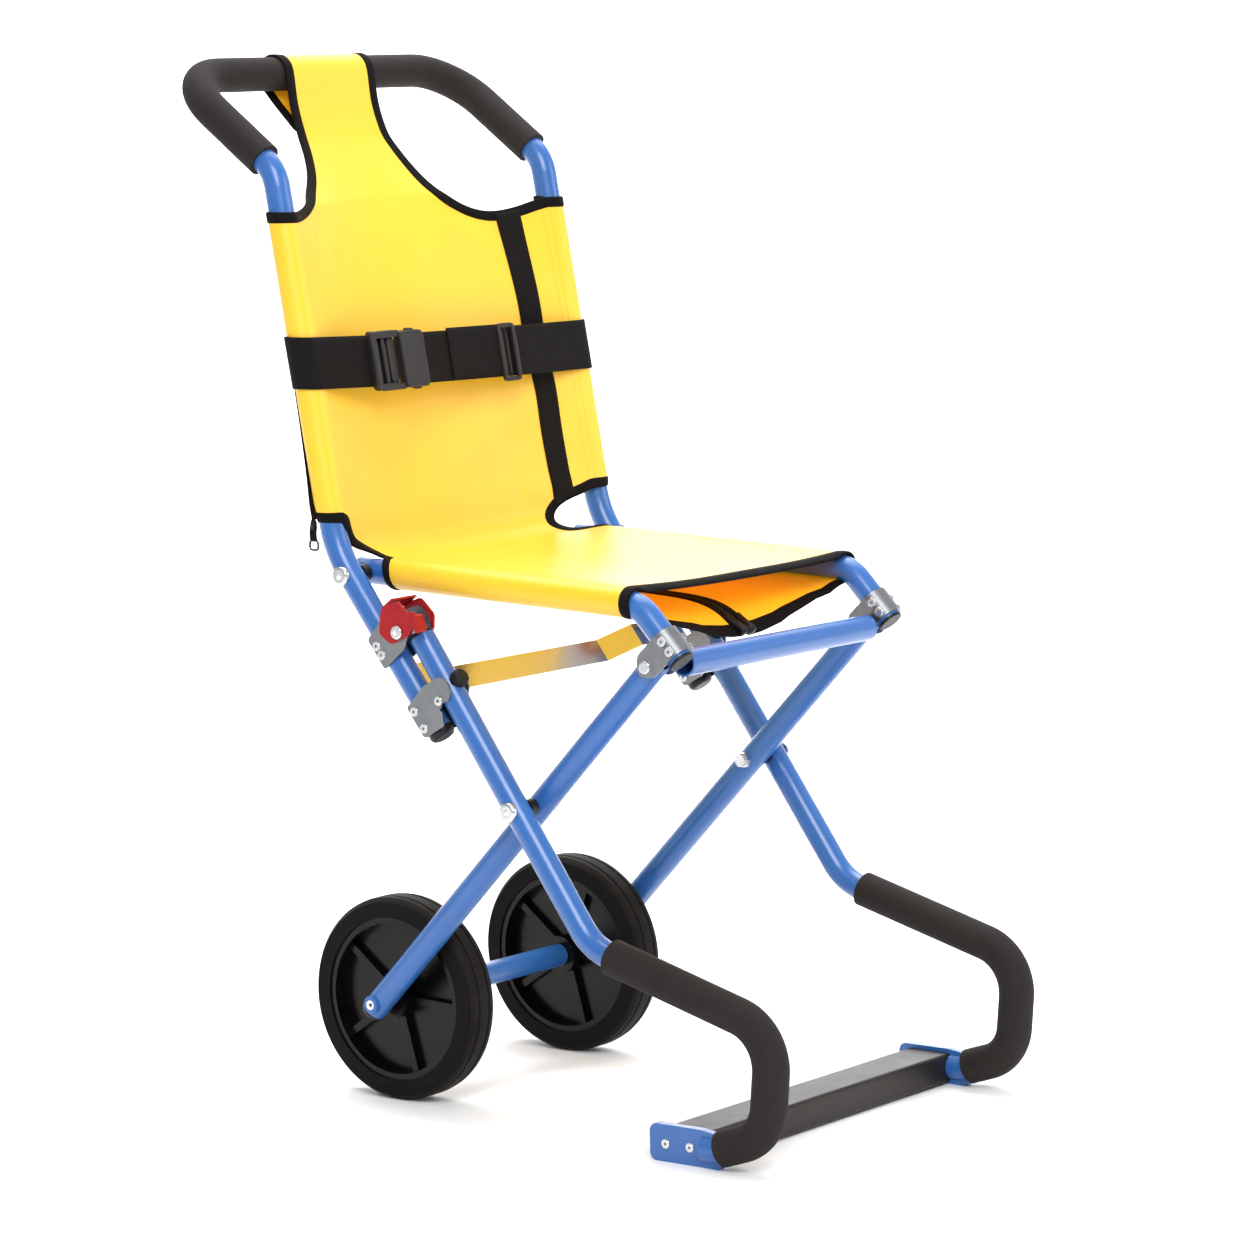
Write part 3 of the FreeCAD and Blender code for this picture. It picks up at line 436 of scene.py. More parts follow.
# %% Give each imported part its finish
SLOTS = {
    "frame_blue": "back_frame front_leg* seat_tube* seat_cross_tube wheel_leg* axle_tube",
    "grip_foam": "handle_grip leg_grip*",
    "cap_black": "back_tube_caps leg_top_caps seat_tube_caps wheel_leg_plugs cross_pivot_spacers "
                 "back_pivot_spacers",
    "rubber_black": "leg_bumpers",
    "bracket_steel": "upper_bracket* lower_bracket* seat_bracket*",
    "rivet_zinc": "bracket_rivets seat_bracket_rivets crossbar_rivets latch_bolts "
                  "back_pivot_bolts back_pivot_nuts cross_pivot_bolts cross_pivot_nuts "
                  "seat_leg_pins axle_rod",
    "axle_end": "axle_caps",
    "strip_steel": "cross_strip",
    "latch_red": "latch_lever*",
    "crossbar_dark": "foot_crossbar",
    "wheel_plastic": "wheel* wheel_bush*",
    "tyre_rubber": "tyre*",
}
TAG = {-1: "_left", 1: "_right"}
done = 0
for finish, names in SLOTS.items():
    # a star stands for one part on each side
    for name in names.split():
        for tag in TAG.values() if name.endswith("*") else [""]:
            for place in frame["nodes"][name.rstrip("*") + tag].material_slots:
                place.material = finishes[finish]
            done += 1
print("finished", done, "packed parts")

# %% [markdown]
# The sling is one cloth from the handle bar down to the seat's front edge. It is cut flat and
# sewn, so it is worked out here the same way: a point on the flat cut is (c, b), c across from the
# middle and b down the middle line, and one function bends the cut into place. The back hangs
# between the two back tubes and sags; round each tube it turns into a sleeve. Below the belt it
# turns forward over the hinge and lies on the seat tubes. A flat grid with the outline cut out
# of it was chosen over modelling each panel, since binding and seams can then follow one outline.

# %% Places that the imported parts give
MM = 0.001
BACK_X, SEAT_X = [sum(corner.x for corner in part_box(name)) / 2 / MM
                  for name in ("back_sleeve_right", "seat_tube_right")]
HINGE_F = -157.0
hinge = next(j for j in frame["joints"] if j["name"] == "back_fold")["pos_m"]
SHIFT = -(hinge[1] / MM + HINGE_F)
print("tube lines at x", BACK_X, SEAT_X, "forward shift", round(SHIFT, 2))


def tube_line(z):
    """How far forward the back tube's middle line is at a height: a straight slope."""
    return -173.2 - 0.18396 * (z - 542.6)


def seat_line(f):
    """How high the seat tube's middle line is at a place forward: a straight slope."""
    return 520.5 - 0.03943 * (f - HINGE_F)


# how far the cloth lies from a tube's middle line, and where on a tube each sleeve begins
SLEEVE = 13.9
BACK_LEAD, SEAT_LEAD = 20, 5
# the handle bar's middle as (forward, height), and the loop's distance from it
BAR, BAR_R = np.array([-362.0, 992.5]), 18.2


# %% The stations down the middle line
def stations():
    """Rows of centre forward, centre height, edge forward, edge height and half span, all in
    millimetres: a loop round the bar, the neck, the sagging back, the turn, and the seat."""
    rows = []
    knot = np.array([-329.0, 933.0])
    d = knot - BAR
    lean, open_ = np.arctan2(d[1], d[0]), np.arccos(BAR_R / np.hypot(*d))
    turn = np.linspace(lean - open_ + 2 * np.pi, lean + open_, 11)
    rows.append((knot[0] - 2.5, knot[1] + 2) * 2 + (BACK_X,))
    for p in BAR + BAR_R * np.stack([np.cos(turn), np.sin(turn)], 1):
        rows.append((p[0], p[1], p[0], p[1], BACK_X))
    rows.append((-339.5, 965, -339.5, 965, BACK_X))
    for z, c, e in ((933, -329, -329), (912, -317.5, -302), (893, -306, -268), (878, -297, -240)):
        rows.append((c, z, e, z, BACK_X))
    rows.append((-290, 866, tube_line(866) + SLEEVE, 866, BACK_X))
    for z, sag in ((861, 70), (835, 62), (800, 54), (765, 48), (737, 44), (700, 42), (660, 40),
                   (620, 38), (590, 36)):
        front = tube_line(z) + SLEEVE
        rows.append((front - sag, z, front, z, BACK_X))
    front = tube_line(571) + SLEEVE
    rows += [(front - 33, 569, front, 571, BACK_X - 2), (-194, 549, -166, 554, 192),
             (-185, 533, -160, 541, 180), (-163, 524, -146, seat_line(-146) + SLEEVE, SEAT_X)]
    for f, sag in ((-110, 11), (-60, 10), (0, 9), (60, 8), (110, 6), (143, 4), (157, 3), (161, 3)):
        rows.append((f, seat_line(f) + SLEEVE - sag, f, seat_line(f) + SLEEVE, SEAT_X))
    return np.array(rows, float)


def smooth_through(x, y, t):
    """Cubic pieces through the rows y at x. Each row's slope is the harmonic mean of the slopes
    on its two sides, and none where they disagree, so that nothing overshoots."""
    h = np.diff(x)[:, None]
    d = np.diff(y, axis=0) / h
    a, b = d[:-1], d[1:]
    same = a * b > 0
    m = np.concatenate([d[:1], np.where(same, 2 * a * b / np.where(same, a + b, 1), 0), d[-1:]])
    t = np.clip(t, x[0], x[-1])
    i = np.clip(np.searchsorted(x, t, side="right") - 1, 0, len(x) - 2)
    s = ((t - x[i]) / (x[i + 1] - x[i]))[..., None]
    hh = h[i]
    return ((1 + 2 * s) * (1 - s) ** 2 * y[i] + s * (1 - s) ** 2 * hh * m[i]
            + s * s * (3 - 2 * s) * y[i + 1] + s * s * (s - 1) * hh * m[i + 1])


STATIONS = stations()
DOWN = np.concatenate([[0], np.cumsum(np.hypot(*np.diff(STATIONS[:, :2], axis=0).T))])


def seat_at(f):
    """How far down the cut the seat is that far forward."""
    return float(np.interp(f, STATIONS[-9:, 2], DOWN[-9:]))


# the stations from the shoulders down to the sleeves' ends
BACK_ROWS = slice(12, 28)


def rows_at(z):
    """How far down the cut the edge's height is z, on the shoulders and the back."""
    return float(np.interp(-z, -STATIONS[BACK_ROWS, 3], DOWN[BACK_ROWS]))


TOP, LENGTH = 2.5, seat_at(157.5)
B_SLEEVE_TOP, B_SLEEVE_END = rows_at(863), rows_at(571)
B_SEAT_START = seat_at(-144)
print("middle line", round(LENGTH), "mm; sleeves from", round(B_SLEEVE_TOP), "to", round(B_SLEEVE_END),
      "mm; seat from", round(B_SEAT_START))

# %% [markdown]
# The sleeve begins where the sagging cloth meets the round of the tube, 20 degrees before the
# tube's front on the back and 5 degrees on the seat. From there c runs round the tube. Under the
# seat the cloth leaves the tube again and runs inwards as a flap, which drops at its front edge
# where nothing holds it.

# %% Bend the flat cut into place
def under_height(x, f):
    """Height of the flap under the seat: a little under the tubes, with a droop that is largest
    in the middle of the front edge and dies away over about 22 mm going back."""
    side = np.abs(x)
    front = np.interp(side, [0, 25, 57, 72, 90, 115, 141, 170],
                      [463.5, 465, 470, 475, 479, 485, 488, 492.5])
    droop = (493.5 - front) * np.exp(-np.clip((157.0 - f) / 24.0, 0, 60) ** 1.15)
    return seat_line(f) - SLEEVE - 1.0 - 3.0 * np.clip(1 - (side / 170) ** 2, 0, 1) - droop


def bend(c, b):
    """The point (x, forward, height) in millimetres for a place on the flat cut. Across the sheet
    the cloth follows a parabola from the middle to the sleeves; past them it goes round the tube."""
    row = smooth_through(DOWN, STATIONS, b)
    cf, cz, ef, ez, span = np.moveaxis(row, -1, 0)
    seat = np.clip((b - B_SLEEVE_END) / (B_SEAT_START - B_SLEEVE_END), 0, 1)
    lead = np.radians(BACK_LEAD - (BACK_LEAD - SEAT_LEAD) * seat)
    edge = span - SLEEVE * np.sin(lead)
    side = np.abs(c)
    bow = np.clip(1 - (side / edge) ** 2, 0, 1)
    drop = SLEEVE * (1 - np.cos(lead)) * np.clip(side / edge, 0, 1) ** 6
    x = side
    f = ef + (cf - ef) * bow - drop * (1 - seat)
    z = ez + (cz - ez) * bow - drop * seat
    # the seat's front hem rolls down between the tubes
    hem = np.clip((b - LENGTH + 10) / 10, 0, 1.2) * np.clip((edge - side) / 14, 0, 1)
    z, f = z - 4.2 * hem ** 2, f - 1.2 * hem ** 3
    # round the tube: the angle starts at minus the lead and grows with the cloth's length
    angle = (side - edge) / SLEEVE - lead
    round_ = side > edge
    tx = span + SLEEVE * np.sin(angle)
    up_ = np.cos(angle)
    axis_f, axis_z = ef - SLEEVE * (1 - seat), ez - SLEEVE * seat
    tf, tz = axis_f + SLEEVE * up_ * (1 - seat), axis_z + SLEEVE * up_ * seat
    x, f, z = np.where(round_, tx, x), np.where(round_, tf, f), np.where(round_, tz, z)
    # under the seat: past the tube's underside the cloth runs inwards as a flap
    past = (side - edge) - SLEEVE * (np.pi + lead)
    flap = (past > 0) & (seat > 0.99)
    fx = span - past
    soft = np.clip(past / 30, 0, 1)
    low = axis_z - SLEEVE
    fz = low + (under_height(fx, f) - low) * soft
    x, z = np.where(flap, fx, x), np.where(flap, fz, z)
    return np.sign(c) * x, f, z


def in_place(c, b, lift=0.0):
    """The bent point in metres in the chair's frame, moved off the cloth along its normal by lift
    millimetres. The normal is the cross product of the two slopes, taken by small steps."""
    def at(c, b):
        x, f, z = bend(c, b)
        return np.stack([x, -SHIFT - f, z], -1)
    p = at(c, b)
    if np.any(lift):
        normal = unit(np.cross(at(c + 0.5, b) - at(c - 0.5, b), at(c, b + 0.5) - at(c, b - 0.5)))
        p = p - normal * np.asarray(lift)[..., None]
    return p * MM


print("front hem's middle at", in_place(np.array([0.0]), np.array([LENGTH])).round(3).tolist())

# %% [markdown]
# The outline is one closed line on the flat cut. Its points were set where the cloth's edges
# lie on the chair: the straight neck, the scooped shoulders, the sleeves' ends, the notch that
# clears the hinge, and the straight front edge.

# %% The outline of the cut
def place_down(x, f, z):
    """How far down the cut the bent cloth passes nearest to a place, at that distance across."""
    b = np.linspace(B_SLEEVE_TOP - 60, B_SEAT_START + 60, 900)
    _, pf, pz = bend(np.full_like(b, x), b)
    return float(b[np.argmin((pf - f) ** 2 + (pz - z) ** 2)])


def round_corner(points, step=4.0):
    """The closed or open line through the points with Catmull-Rom curves, sampled each few mm."""
    p = np.asarray(points, float)
    q = np.concatenate([[2 * p[0] - p[1]], p, [2 * p[-1] - p[-2]]])
    out = []
    for i in range(len(p) - 1):
        n = max(2, int(np.hypot(*(p[i + 1] - p[i])) / step))
        t = (np.arange(n) / n)[:, None]
        a, b, c, d = q[i:i + 4]
        out.append(0.5 * (2 * b + (c - a) * t + (2 * a - 5 * b + 4 * c - d) * t ** 2
                          + (3 * b - a - 3 * c + d) * t ** 3))
    return np.concatenate(out + [p[-1:]])


BACK_EDGE = BACK_X - SLEEVE * math.sin(math.radians(BACK_LEAD))
WRAP_BACK = BACK_EDGE + SLEEVE * math.radians(BACK_LEAD + 292)
SEAT_EDGE = SEAT_X - SLEEVE * math.sin(math.radians(SEAT_LEAD))
FLAP_START = SEAT_EDGE + SLEEVE * math.radians(180 + SEAT_LEAD)
WRAP_SEAT = FLAP_START + SEAT_X - 3.0
NECK_HALF = 66.0
# each shoulder as (distance across, height), on the right (1) and on the left (-1)
SHOULDER = {
    1: ((66.5, 945), (67.5, 930), (72, 912), (80, 888), (91, 871), (108, 858.5), (124, 852),
        (140, 850), (160, 853), (178, 858.5), (190, 862)),
    -1: ((66.5, 945), (68, 928), (75, 910), (86, 896), (100, 886), (118, 877), (140, 869),
         (160, 865), (178, 863), (190, 862.5)),
}
SHOULDER = {sign: [(c, rows_at(z)) for c, z in line] for sign, line in SHOULDER.items()}
# each notch as (distance across the cut, and the place x, forward, height that it passes)
NOTCH = {
    1: ((189, 189, -167, 570), (176, 176, -172, 565), (160, 160, -176, 561), (146, 146, -178, 555),
        (137, 137, -178, 548), (132, 132, -175, 541), (134, 134, -167, 536), (143, 143, -156, 533),
        (156, 156, -150, 534)),
    -1: ((197, 191, -164, 553), (189, 187, -162, 546), (179, 179, -160, 541.5),
         (168, 168, -156, 538)),
}
NOTCH = {sign: [(c, place_down(*place)) for c, *place in line] for sign, line in NOTCH.items()}
NOTCH[1] += [(168, B_SEAT_START)]
NOTCH[-1] = [(204, B_SLEEVE_END), (203, rows_at(578) + 14), *NOTCH[-1], (166, B_SEAT_START)]


def half_outline(sign):
    """One side's edge from the top of the neck to the front of the seat."""
    top = [(NECK_HALF, TOP), (NECK_HALF, rows_at(960))]
    sleeve = [(WRAP_BACK, B_SLEEVE_TOP), (WRAP_BACK, B_SLEEVE_END)]
    seat = [(SEAT_EDGE + 0.5 * np.pi * SLEEVE, seat_at(-132)),
            (SEAT_EDGE + np.pi * SLEEVE, seat_at(-128)), (WRAP_SEAT, seat_at(-128)),
            (WRAP_SEAT, LENGTH)]
    line = np.concatenate([top, round_corner(SHOULDER[sign]), sleeve, round_corner(NOTCH[sign]), seat])
    return line * [sign, 1]


def even_steps(line, step, closed=False):
    """The same line with points a fixed step apart."""
    p = np.concatenate([line, line[:1]]) if closed else np.asarray(line, float)
    d = np.concatenate([[0], np.cumsum(np.linalg.norm(np.diff(p, axis=0), axis=1))])
    n = max(2, int(round(d[-1] / step)))
    at = np.linspace(0, d[-1], n + 1)[:-1] if closed else np.linspace(0, d[-1], n + 1)
    return np.stack([np.interp(at, d, p[:, k]) for k in range(p.shape[1])], 1)


OUTLINE = even_steps(np.concatenate([half_outline(1), half_outline(-1)[::-1]]), 2.5, closed=True)
# each corner is eased by averaging every point with its two neighbours, twice
for _ in range(2):
    OUTLINE = (np.roll(OUTLINE, 1, 0) + 2 * OUTLINE + np.roll(OUTLINE, -1, 0)) / 4
ahead_by_one = np.roll(OUTLINE, -1, 0)
CUT_AREA = 0.5 * abs(np.sum(OUTLINE[:, 0] * ahead_by_one[:, 1]
                            - ahead_by_one[:, 0] * OUTLINE[:, 1])) * MM * MM
print("flat cut", round(2 * WRAP_SEAT), "x", round(LENGTH), "mm, area", round(CUT_AREA, 3), "m2")


# %% Cut the grid along the outline
def inside(points, polygon):
    """Which points lie inside the closed line: a ray to the right crosses it an odd number of
    times."""
    x, y = points[:, 0, None], points[:, 1, None]
    x1, y1 = polygon[None, :, 0], polygon[None, :, 1]
    x2, y2 = np.roll(x1, -1, 1), np.roll(y1, -1, 1)
    dy = np.where(y2 == y1, 1e-9, y2 - y1)
    crosses = ((y1 > y) != (y2 > y)) & (x < (x2 - x1) * (y - y1) / dy + x1)
    return crosses.sum(1) % 2 == 1


def nearest_on(points, polygon):
    """The nearest place on the closed line to each point."""
    a, b = polygon[None], np.roll(polygon, -1, 0)[None]
    d = b - a
    t = np.clip(((points[:, None] - a) * d).sum(-1) / np.maximum((d * d).sum(-1), 1e-9), 0, 1)
    q = a + d * t[..., None]
    gap = ((q - points[:, None]) ** 2).sum(-1)
    best = gap.argmin(1)
    rows = np.arange(len(points))
    return q[rows, best], np.sqrt(gap[rows, best])


def cut_cloth(step=5.0):
    """Grid points and faces of the flat cut. A cell is kept where its middle is inside, and the
    points on the rim of what is kept are drawn to the outline."""
    c = np.linspace(-WRAP_SEAT, WRAP_SEAT, int(2 * WRAP_SEAT / step) | 1)
    b = np.linspace(0, LENGTH, int(LENGTH / step))
    flat = np.stack(np.meshgrid(c, b), -1).reshape(-1, 2)
    faces = grid_faces(len(b), len(c))
    faces = faces[inside(flat[faces].mean(1), OUTLINE)]
    used = np.bincount(faces.ravel(), minlength=len(flat))
    rim = (used > 0) & (used < 4)
    flat[rim] = nearest_on(flat[rim], OUTLINE)[0]
    keep = np.flatnonzero(used)
    number = np.zeros(len(flat), int)
    number[keep] = np.arange(len(keep))
    return flat[keep], number[faces][:, ::-1]


flat_points, cloth_faces = cut_cloth()
print("cloth grid", len(flat_points), "points,", len(cloth_faces), "faces")

# %% [markdown]
# A coated cloth hangs nearly smooth, with a few soft folds where it is pulled: fine ones fan out
# from the neck's ends and the notch, and shallow dents lie under the belt. They are small waves
# added along the cloth's normal.

# %% Soft folds
def folds(c, b):
    """Height of the folds in millimetres: waves that run out from the shoulder scoops and the
    notch, and a long shallow pillow above and below the belt's line."""
    def hill(value, middle, reach):
        return np.exp(-((value - middle) / reach) ** 2)
    side = np.abs(c)
    belt = rows_at(717)
    sheet = np.clip((BACK_EDGE - side) / 30, 0, 1)
    pillow = 1.6 * hill(b, belt + 48, 30) - 1.4 * hill(b, belt, 26) + 1.2 * hill(b, belt - 52, 34)
    fan = np.sin((b - belt) / 17 + c / 29) * hill(b, rows_at(655), 48) * hill(side, 60, 60)
    draw = np.sin(side / 9.5 + b / 40) * hill(b, rows_at(560), 24) * hill(side, 105, 26)
    scoop = np.sin(side / 13 - b / 17) * hill(b, rows_at(838), 22) * hill(side, 120, 40)
    seat = 0.9 * np.sin(c / 31 + b / 70) * np.clip((b - B_SEAT_START) / 50, 0, 1) * (side < SEAT_EDGE)
    seat = seat * np.clip((LENGTH - b) / 30, 0, 1)
    return (1.5 * pillow + 2.0 * fan + 1.5 * draw + 1.2 * scoop + seat) * sheet * (b > rows_at(900))


folds_at = folds(flat_points[:, 0], flat_points[:, 1])
cloth = arrays_to_mesh("sling_cloth", in_place(flat_points[:, 0], flat_points[:, 1], folds_at),
                       cloth_faces, flat_points * MM)
print("folds from", folds_at.min().round(2), "to", folds_at.max().round(2), "mm")

# %% [markdown]
# The cloth is polyester woven flat and coated on both faces: lemon yellow outside, orange
# inside. Under the coating the weave still shows as a fine grid. The coating is a little glossy
# and scuffs paler where it rubs on the frame.

# %% Coated cloth, outside and inside
def coated(name, deep, bright, scuffed, painted_glow=0.0):
    """Coated cloth. The last argument is a painted glow: the face emits its own colour at that
    strength, in place of light that shines through the cloth.
    """
    f = Finish(name, IOR=1.46, Coat_Weight=0.4, Coat_Roughness=0.38, Emission_Strength=painted_glow)
    at = f.cut()
    u, v, _ = f.parts(at)
    # seams: two rows of stitches beside each sleeve, on the back and on the seat
    back_part = (v < B_SLEEVE_END * MM) * (v > B_SLEEVE_TOP * MM)
    seam = (BACK_EDGE * back_part + SEAT_EDGE * (v > B_SEAT_START * MM)) * MM
    from_seam = abs(abs(abs(u) - seam + 0.0105) - 0.0035)
    stitch = (from_seam < 0.00045) * ((v * 260.0) % 1.0 < 0.62) * (seam > 0.1)
    weave = (u * 5200.0).sine() * (v * 5200.0).sine()
    cloud, fine = f.noise(at, 7.0, 4.0), f.noise(at, 60.0, 5.0)
    along_cut = f.node("Mapping", {}, {"Vector": at, "Scale": (1.0, 3.5, 1.0)})
    crease = f.ramp(f.noise(along_cut, 16.0, 6.0, 0.65), (0.60, BLACK), (0.72, WHITE))
    colour = f.mix(cloud, deep, bright)
    colour = f.mix(crease * 0.25 + fine * 0.12, colour, scuffed)
    colour = f.mix(stitch * 0.55, colour, tuple(0.55 * k for k in deep))
    height = weave * 0.5 + fine * 1.4 + cloud * 2.0 - stitch * 3.0
    # painted glow: the face emits its own colour
    if painted_glow:
        f.feed(Emission_Color=colour)
    return f.feed(Base_Color=colour, Roughness=0.34 + fine * 0.14 + crease * 0.06,
                  Normal=f.bump(height, 0.22, 0.0004))


finishes["cover_yellow"] = coated("cover_yellow", (0.89, 0.50, 0.010), (0.93, 0.575, 0.018),
                                  (0.94, 0.64, 0.07))
# the orange inner face gets a painted glow of strength 0.22, in place of light shining through the
# cloth
finishes["flap_orange"] = coated("flap_orange", (0.95, 0.42, 0.008), (0.98, 0.52, 0.015),
                                 (0.97, 0.60, 0.05), 0.22)


def webbing(name, dark, pale, rib):
    """Woven tape: herringbone ribs across it, with paler fibre tops, from the piece's own cut."""
    f = Finish(name, IOR=1.22)
    u, v, _ = f.parts(f.cut())
    zig = abs((v * (rib * 0.5)) % 2.0 - 1.0)
    ridge = (u * (rib * 6.2832) + zig * 5.0).sine()
    fuzz = f.noise(f.cut(), 1200.0, 4.0, 0.7)
    colour = f.mix(ridge * 0.35 + fuzz * 0.7, dark, pale)
    return f.feed(Base_Color=colour, Roughness=0.68 + fuzz * 0.2,
                  Normal=f.bump(ridge * 0.6 + fuzz, 0.5, 0.0004))


finishes["belt_webbing"] = webbing("belt_webbing", (0.003, 0.0026, 0.0026),
                                   (0.014, 0.012, 0.0115), 480.0)
finishes["binding"] = webbing("binding_tape", (0.002, 0.0016, 0.0016), (0.009, 0.0075, 0.007), 800.0)
for name in ("cover_yellow", "flap_orange"):
    cloth.data.materials.append(finishes[name])
wall = thicken(cloth, 1.4 * MM)
wall.material_offset, wall.material_offset_rim = 1, 0
print("cloth finish set")

# %% [markdown]
# Black tape is folded over every cut edge and sewn down. Its section is a flat U, carried along
# the outline: out on one face, round the edge, and back on the other face. Carrying it on the
# flat cut and bending it with the cloth keeps it tight on sleeves, notch and flaps alike.

# %% Binding tape along the outline
def along(line, closed):
    """Unit direction of a line at each point, from its two neighbours, and how far along it is."""
    way = np.roll(line, -1, 0) - np.roll(line, 1, 0) if closed else np.gradient(line, axis=0)
    gone = np.concatenate([[0], np.cumsum(np.linalg.norm(np.diff(line, axis=0), axis=1))])
    return unit(way), gone


def folded_tape(name, line, width):
    """A tape folded over an edge that runs along a closed line on the cut. Each point of the
    section is (how far in from the edge, how far off the cloth)."""
    way, gone = along(line, True)
    inward = np.stack([-way[:, 1], way[:, 0]], 1)
    if inside(line + 2.0 * inward, OUTLINE).mean() < 0.5:
        inward = -inward
    t = 1.15
    face = np.array([(width, 0.75), (width - 0.6, t + 0.15), (width * 0.5, t + 0.35),
                     (1.0, t + 0.35), (-0.5, t)])
    section = np.concatenate([face, [(-1.1, 0.0)], face[::-1] * [1, -1]])
    flat = line[:, None] + inward[:, None] * section[None, :, :1]
    lift = section[None, :, 1] + folds(flat[..., 0], flat[..., 1])
    points = in_place(flat[..., 0], flat[..., 1], lift)
    rows, cols = points.shape[:2]
    uv = np.stack(np.broadcast_arrays(gone[:, None], section[None, :, 0]), -1) * MM
    faces = grid_faces(rows, cols, wrap_rows=True, wrap_cols=True)[:, ::-1]
    return arrays_to_mesh(name, points, faces, uv)


binding = folded_tape("sling_binding", OUTLINE, 10.5)
binding.data.materials.append(finishes["binding"])
print("binding", len(binding.data.polygons), "faces")

# %% [markdown]
# A strip of webbing is sewn down the right of the back, from the shoulder scoop to the notch. It
# lies on the sling, so it is a small grid on the same cut, lifted by its own thickness.

# %% Webbing strip on the back
def strip_on_cloth(name, c0, c1, top, end, lift, thick, finish, across=9, step=3.0):
    """A strip that lies on the cloth between two distances across, lifted off it. top and end are
    lists of (distance across, distance down), so that its ends may be slanted."""
    c = np.linspace(c0, c1, across)
    b_top, b_end = (np.interp(c, *np.array(line).T) for line in (top, end))
    n = int((b_end.mean() - b_top.mean()) / step)
    s = np.linspace(0, 1, n)[:, None]
    cc, bb = c + 0 * s, b_top * (1 - s) + b_end * s
    edge = 0.35 * (np.abs((cc - c0) / (c1 - c0) * 2 - 1) ** 6)
    points = in_place(cc, bb, lift + folds(cc, bb) - edge)
    uv = np.stack([bb, cc - c0], -1) * MM
    obj = arrays_to_mesh(name, points, grid_faces(n, across)[:, ::-1], uv)
    obj.data.materials.append(finishes[finish])
    thicken(obj, thick * MM)
    return obj


strip = strip_on_cloth("back_strip", 139, 164, [(c, b + 3) for c, b in SHOULDER[1][5:]],
                       [(c, b - 3) for c, b in NOTCH[1][4::-1]], 1.3, 1.1, "belt_webbing")
print("strip", len(strip.data.polygons), "faces")

# %% [markdown]
# Each sleeve closes with a zip on its rear outer side, so that the sling comes off for washing.
# A zip is two woven tapes and a coil of small teeth. The coil is a tube whose radius ripples
# once for each tooth. The zip runs a little across the sleeve and ends in a pull on a short tab.

# %% Zips on the sleeves
def frames_along(path):
    """Unit way, side and up at each point of a path of points in space. Side lies level."""
    way = unit(np.gradient(path, axis=0))
    hint = np.where(np.abs(way[:, 2:]) > 0.9, [[0.0, 1.0, 0.0]], [[0.0, 0.0, 1.0]])
    side = unit(np.cross(way, hint))
    return way, side, np.cross(side, way)


def tube(name, path, radius, sides=8, caps=True):
    """A round tube along a path, in black plastic. radius is one number or one for each point,
    and each end shrinks to a ring of 0.01 mm."""
    path = np.asarray(path, float)
    r = np.broadcast_to(np.asarray(radius, float), len(path)).copy()
    if caps:
        way = unit(path[[1, -1]] - path[[0, -2]])
        path = np.concatenate([[path[0] - way[0] * r[0] * 0.3], path,
                               [path[-1] + way[1] * r[-1] * 0.3]])
        r = np.concatenate([[1e-5], r, [1e-5]])
    _, side, up_ = frames_along(path)
    a = np.linspace(0, 2 * np.pi, sides, endpoint=False)
    ring = np.cos(a)[None, :, None] * side[:, None] + np.sin(a)[None, :, None] * up_[:, None]
    points = path[:, None] + ring * r[:, None, None]
    obj = arrays_to_mesh(name, points, grid_faces(len(path), sides, wrap_cols=True))
    turn_outwards(obj)
    obj.data.materials.append(finishes["cap_black"])
    return obj


def sleeve_zip(side):
    """Tape and teeth down one sleeve: c slides from the rear towards the outside going down."""
    b = np.linspace(B_SLEEVE_TOP + 8, B_SLEEVE_END - 1, 160)
    s = (b - b[0]) / (b[-1] - b[0])
    angle = np.radians(205 - (45 if side < 0 else 90) * s ** 0.8)
    c = side * (BACK_EDGE + SLEEVE * (angle + math.radians(BACK_LEAD)))
    off = np.linspace(-6.5, 6.5, 7)
    cc, bb = c[:, None] + off, b[:, None] + 0 * off
    flare = (5.0 if side < 0 else 0.0) * s[:, None] ** 6
    points = in_place(cc, bb, 1.25 + flare + 0 * cc)
    uv = np.stack([bb, cc - c[:, None]], -1) * MM
    tape = arrays_to_mesh("zip_tape" + TAG[side], points, grid_faces(len(b), len(off))[:, ::-1], uv)
    tape.data.materials.append(finishes["binding"])
    thicken(tape, 0.9 * MM)
    fine = np.linspace(b[0], b[-1], 900)
    path = in_place(np.interp(fine, b, c), fine, 2.4 + np.interp(fine, b, flare[:, 0]))
    teeth = tube("zip_teeth" + TAG[side], path, (1.25 + 0.35 * np.sin(fine * 2 * np.pi / 2.4)) * MM, 6)
    return tape, teeth, path[-1]


def zip_pull(side, end):
    """The slider's body, a wire ring with rounded corners, and a short tab of webbing."""
    slide = np.linspace(0, 1, 12)[:, None]
    body = tube("zip_slider" + TAG[side], end + slide * [0, 0, -0.009],
                (2.2 + 1.2 * np.sin(np.linspace(0, 3.14, 12))) * MM, 12)
    q, y = np.linspace(0, 1, 9), np.linspace(-0.0042, 0.0042, 5)
    sag = np.stack([0 * q + side * 0.0012 * np.sin(q * 3.14), 0 * q, -0.006 - 0.015 * q], 1)
    points = (end + sag)[:, None] + np.stack([0 * y, y, 0 * y], 1)[None]
    uv = np.stack(np.meshgrid(y, 0.02 * q), -1)[..., ::-1]
    tab = arrays_to_mesh("zip_tab" + TAG[side], points, grid_faces(len(q), len(y)), uv)
    tab.data.materials.append(finishes["binding"])
    thicken(tab, 1.2 * MM)
    a = np.linspace(0, 2 * np.pi, 41)
    y, z = (np.sign(v) * np.abs(v) ** 0.55 for v in (np.cos(a), np.sin(a)))
    ring = tube("zip_ring" + TAG[side], end + np.stack([0 * a, 0.0052 * y, -0.0245 + 0.0046 * z], 1),
                1.1 * MM, caps=False)
    return body, ring, tab


zips = []
for side in (-1, 1):
    tape, teeth, end = sleeve_zip(side)
    zips += [tape, teeth, *zip_pull(side, end)]
print("zips", [z.name for z in zips])

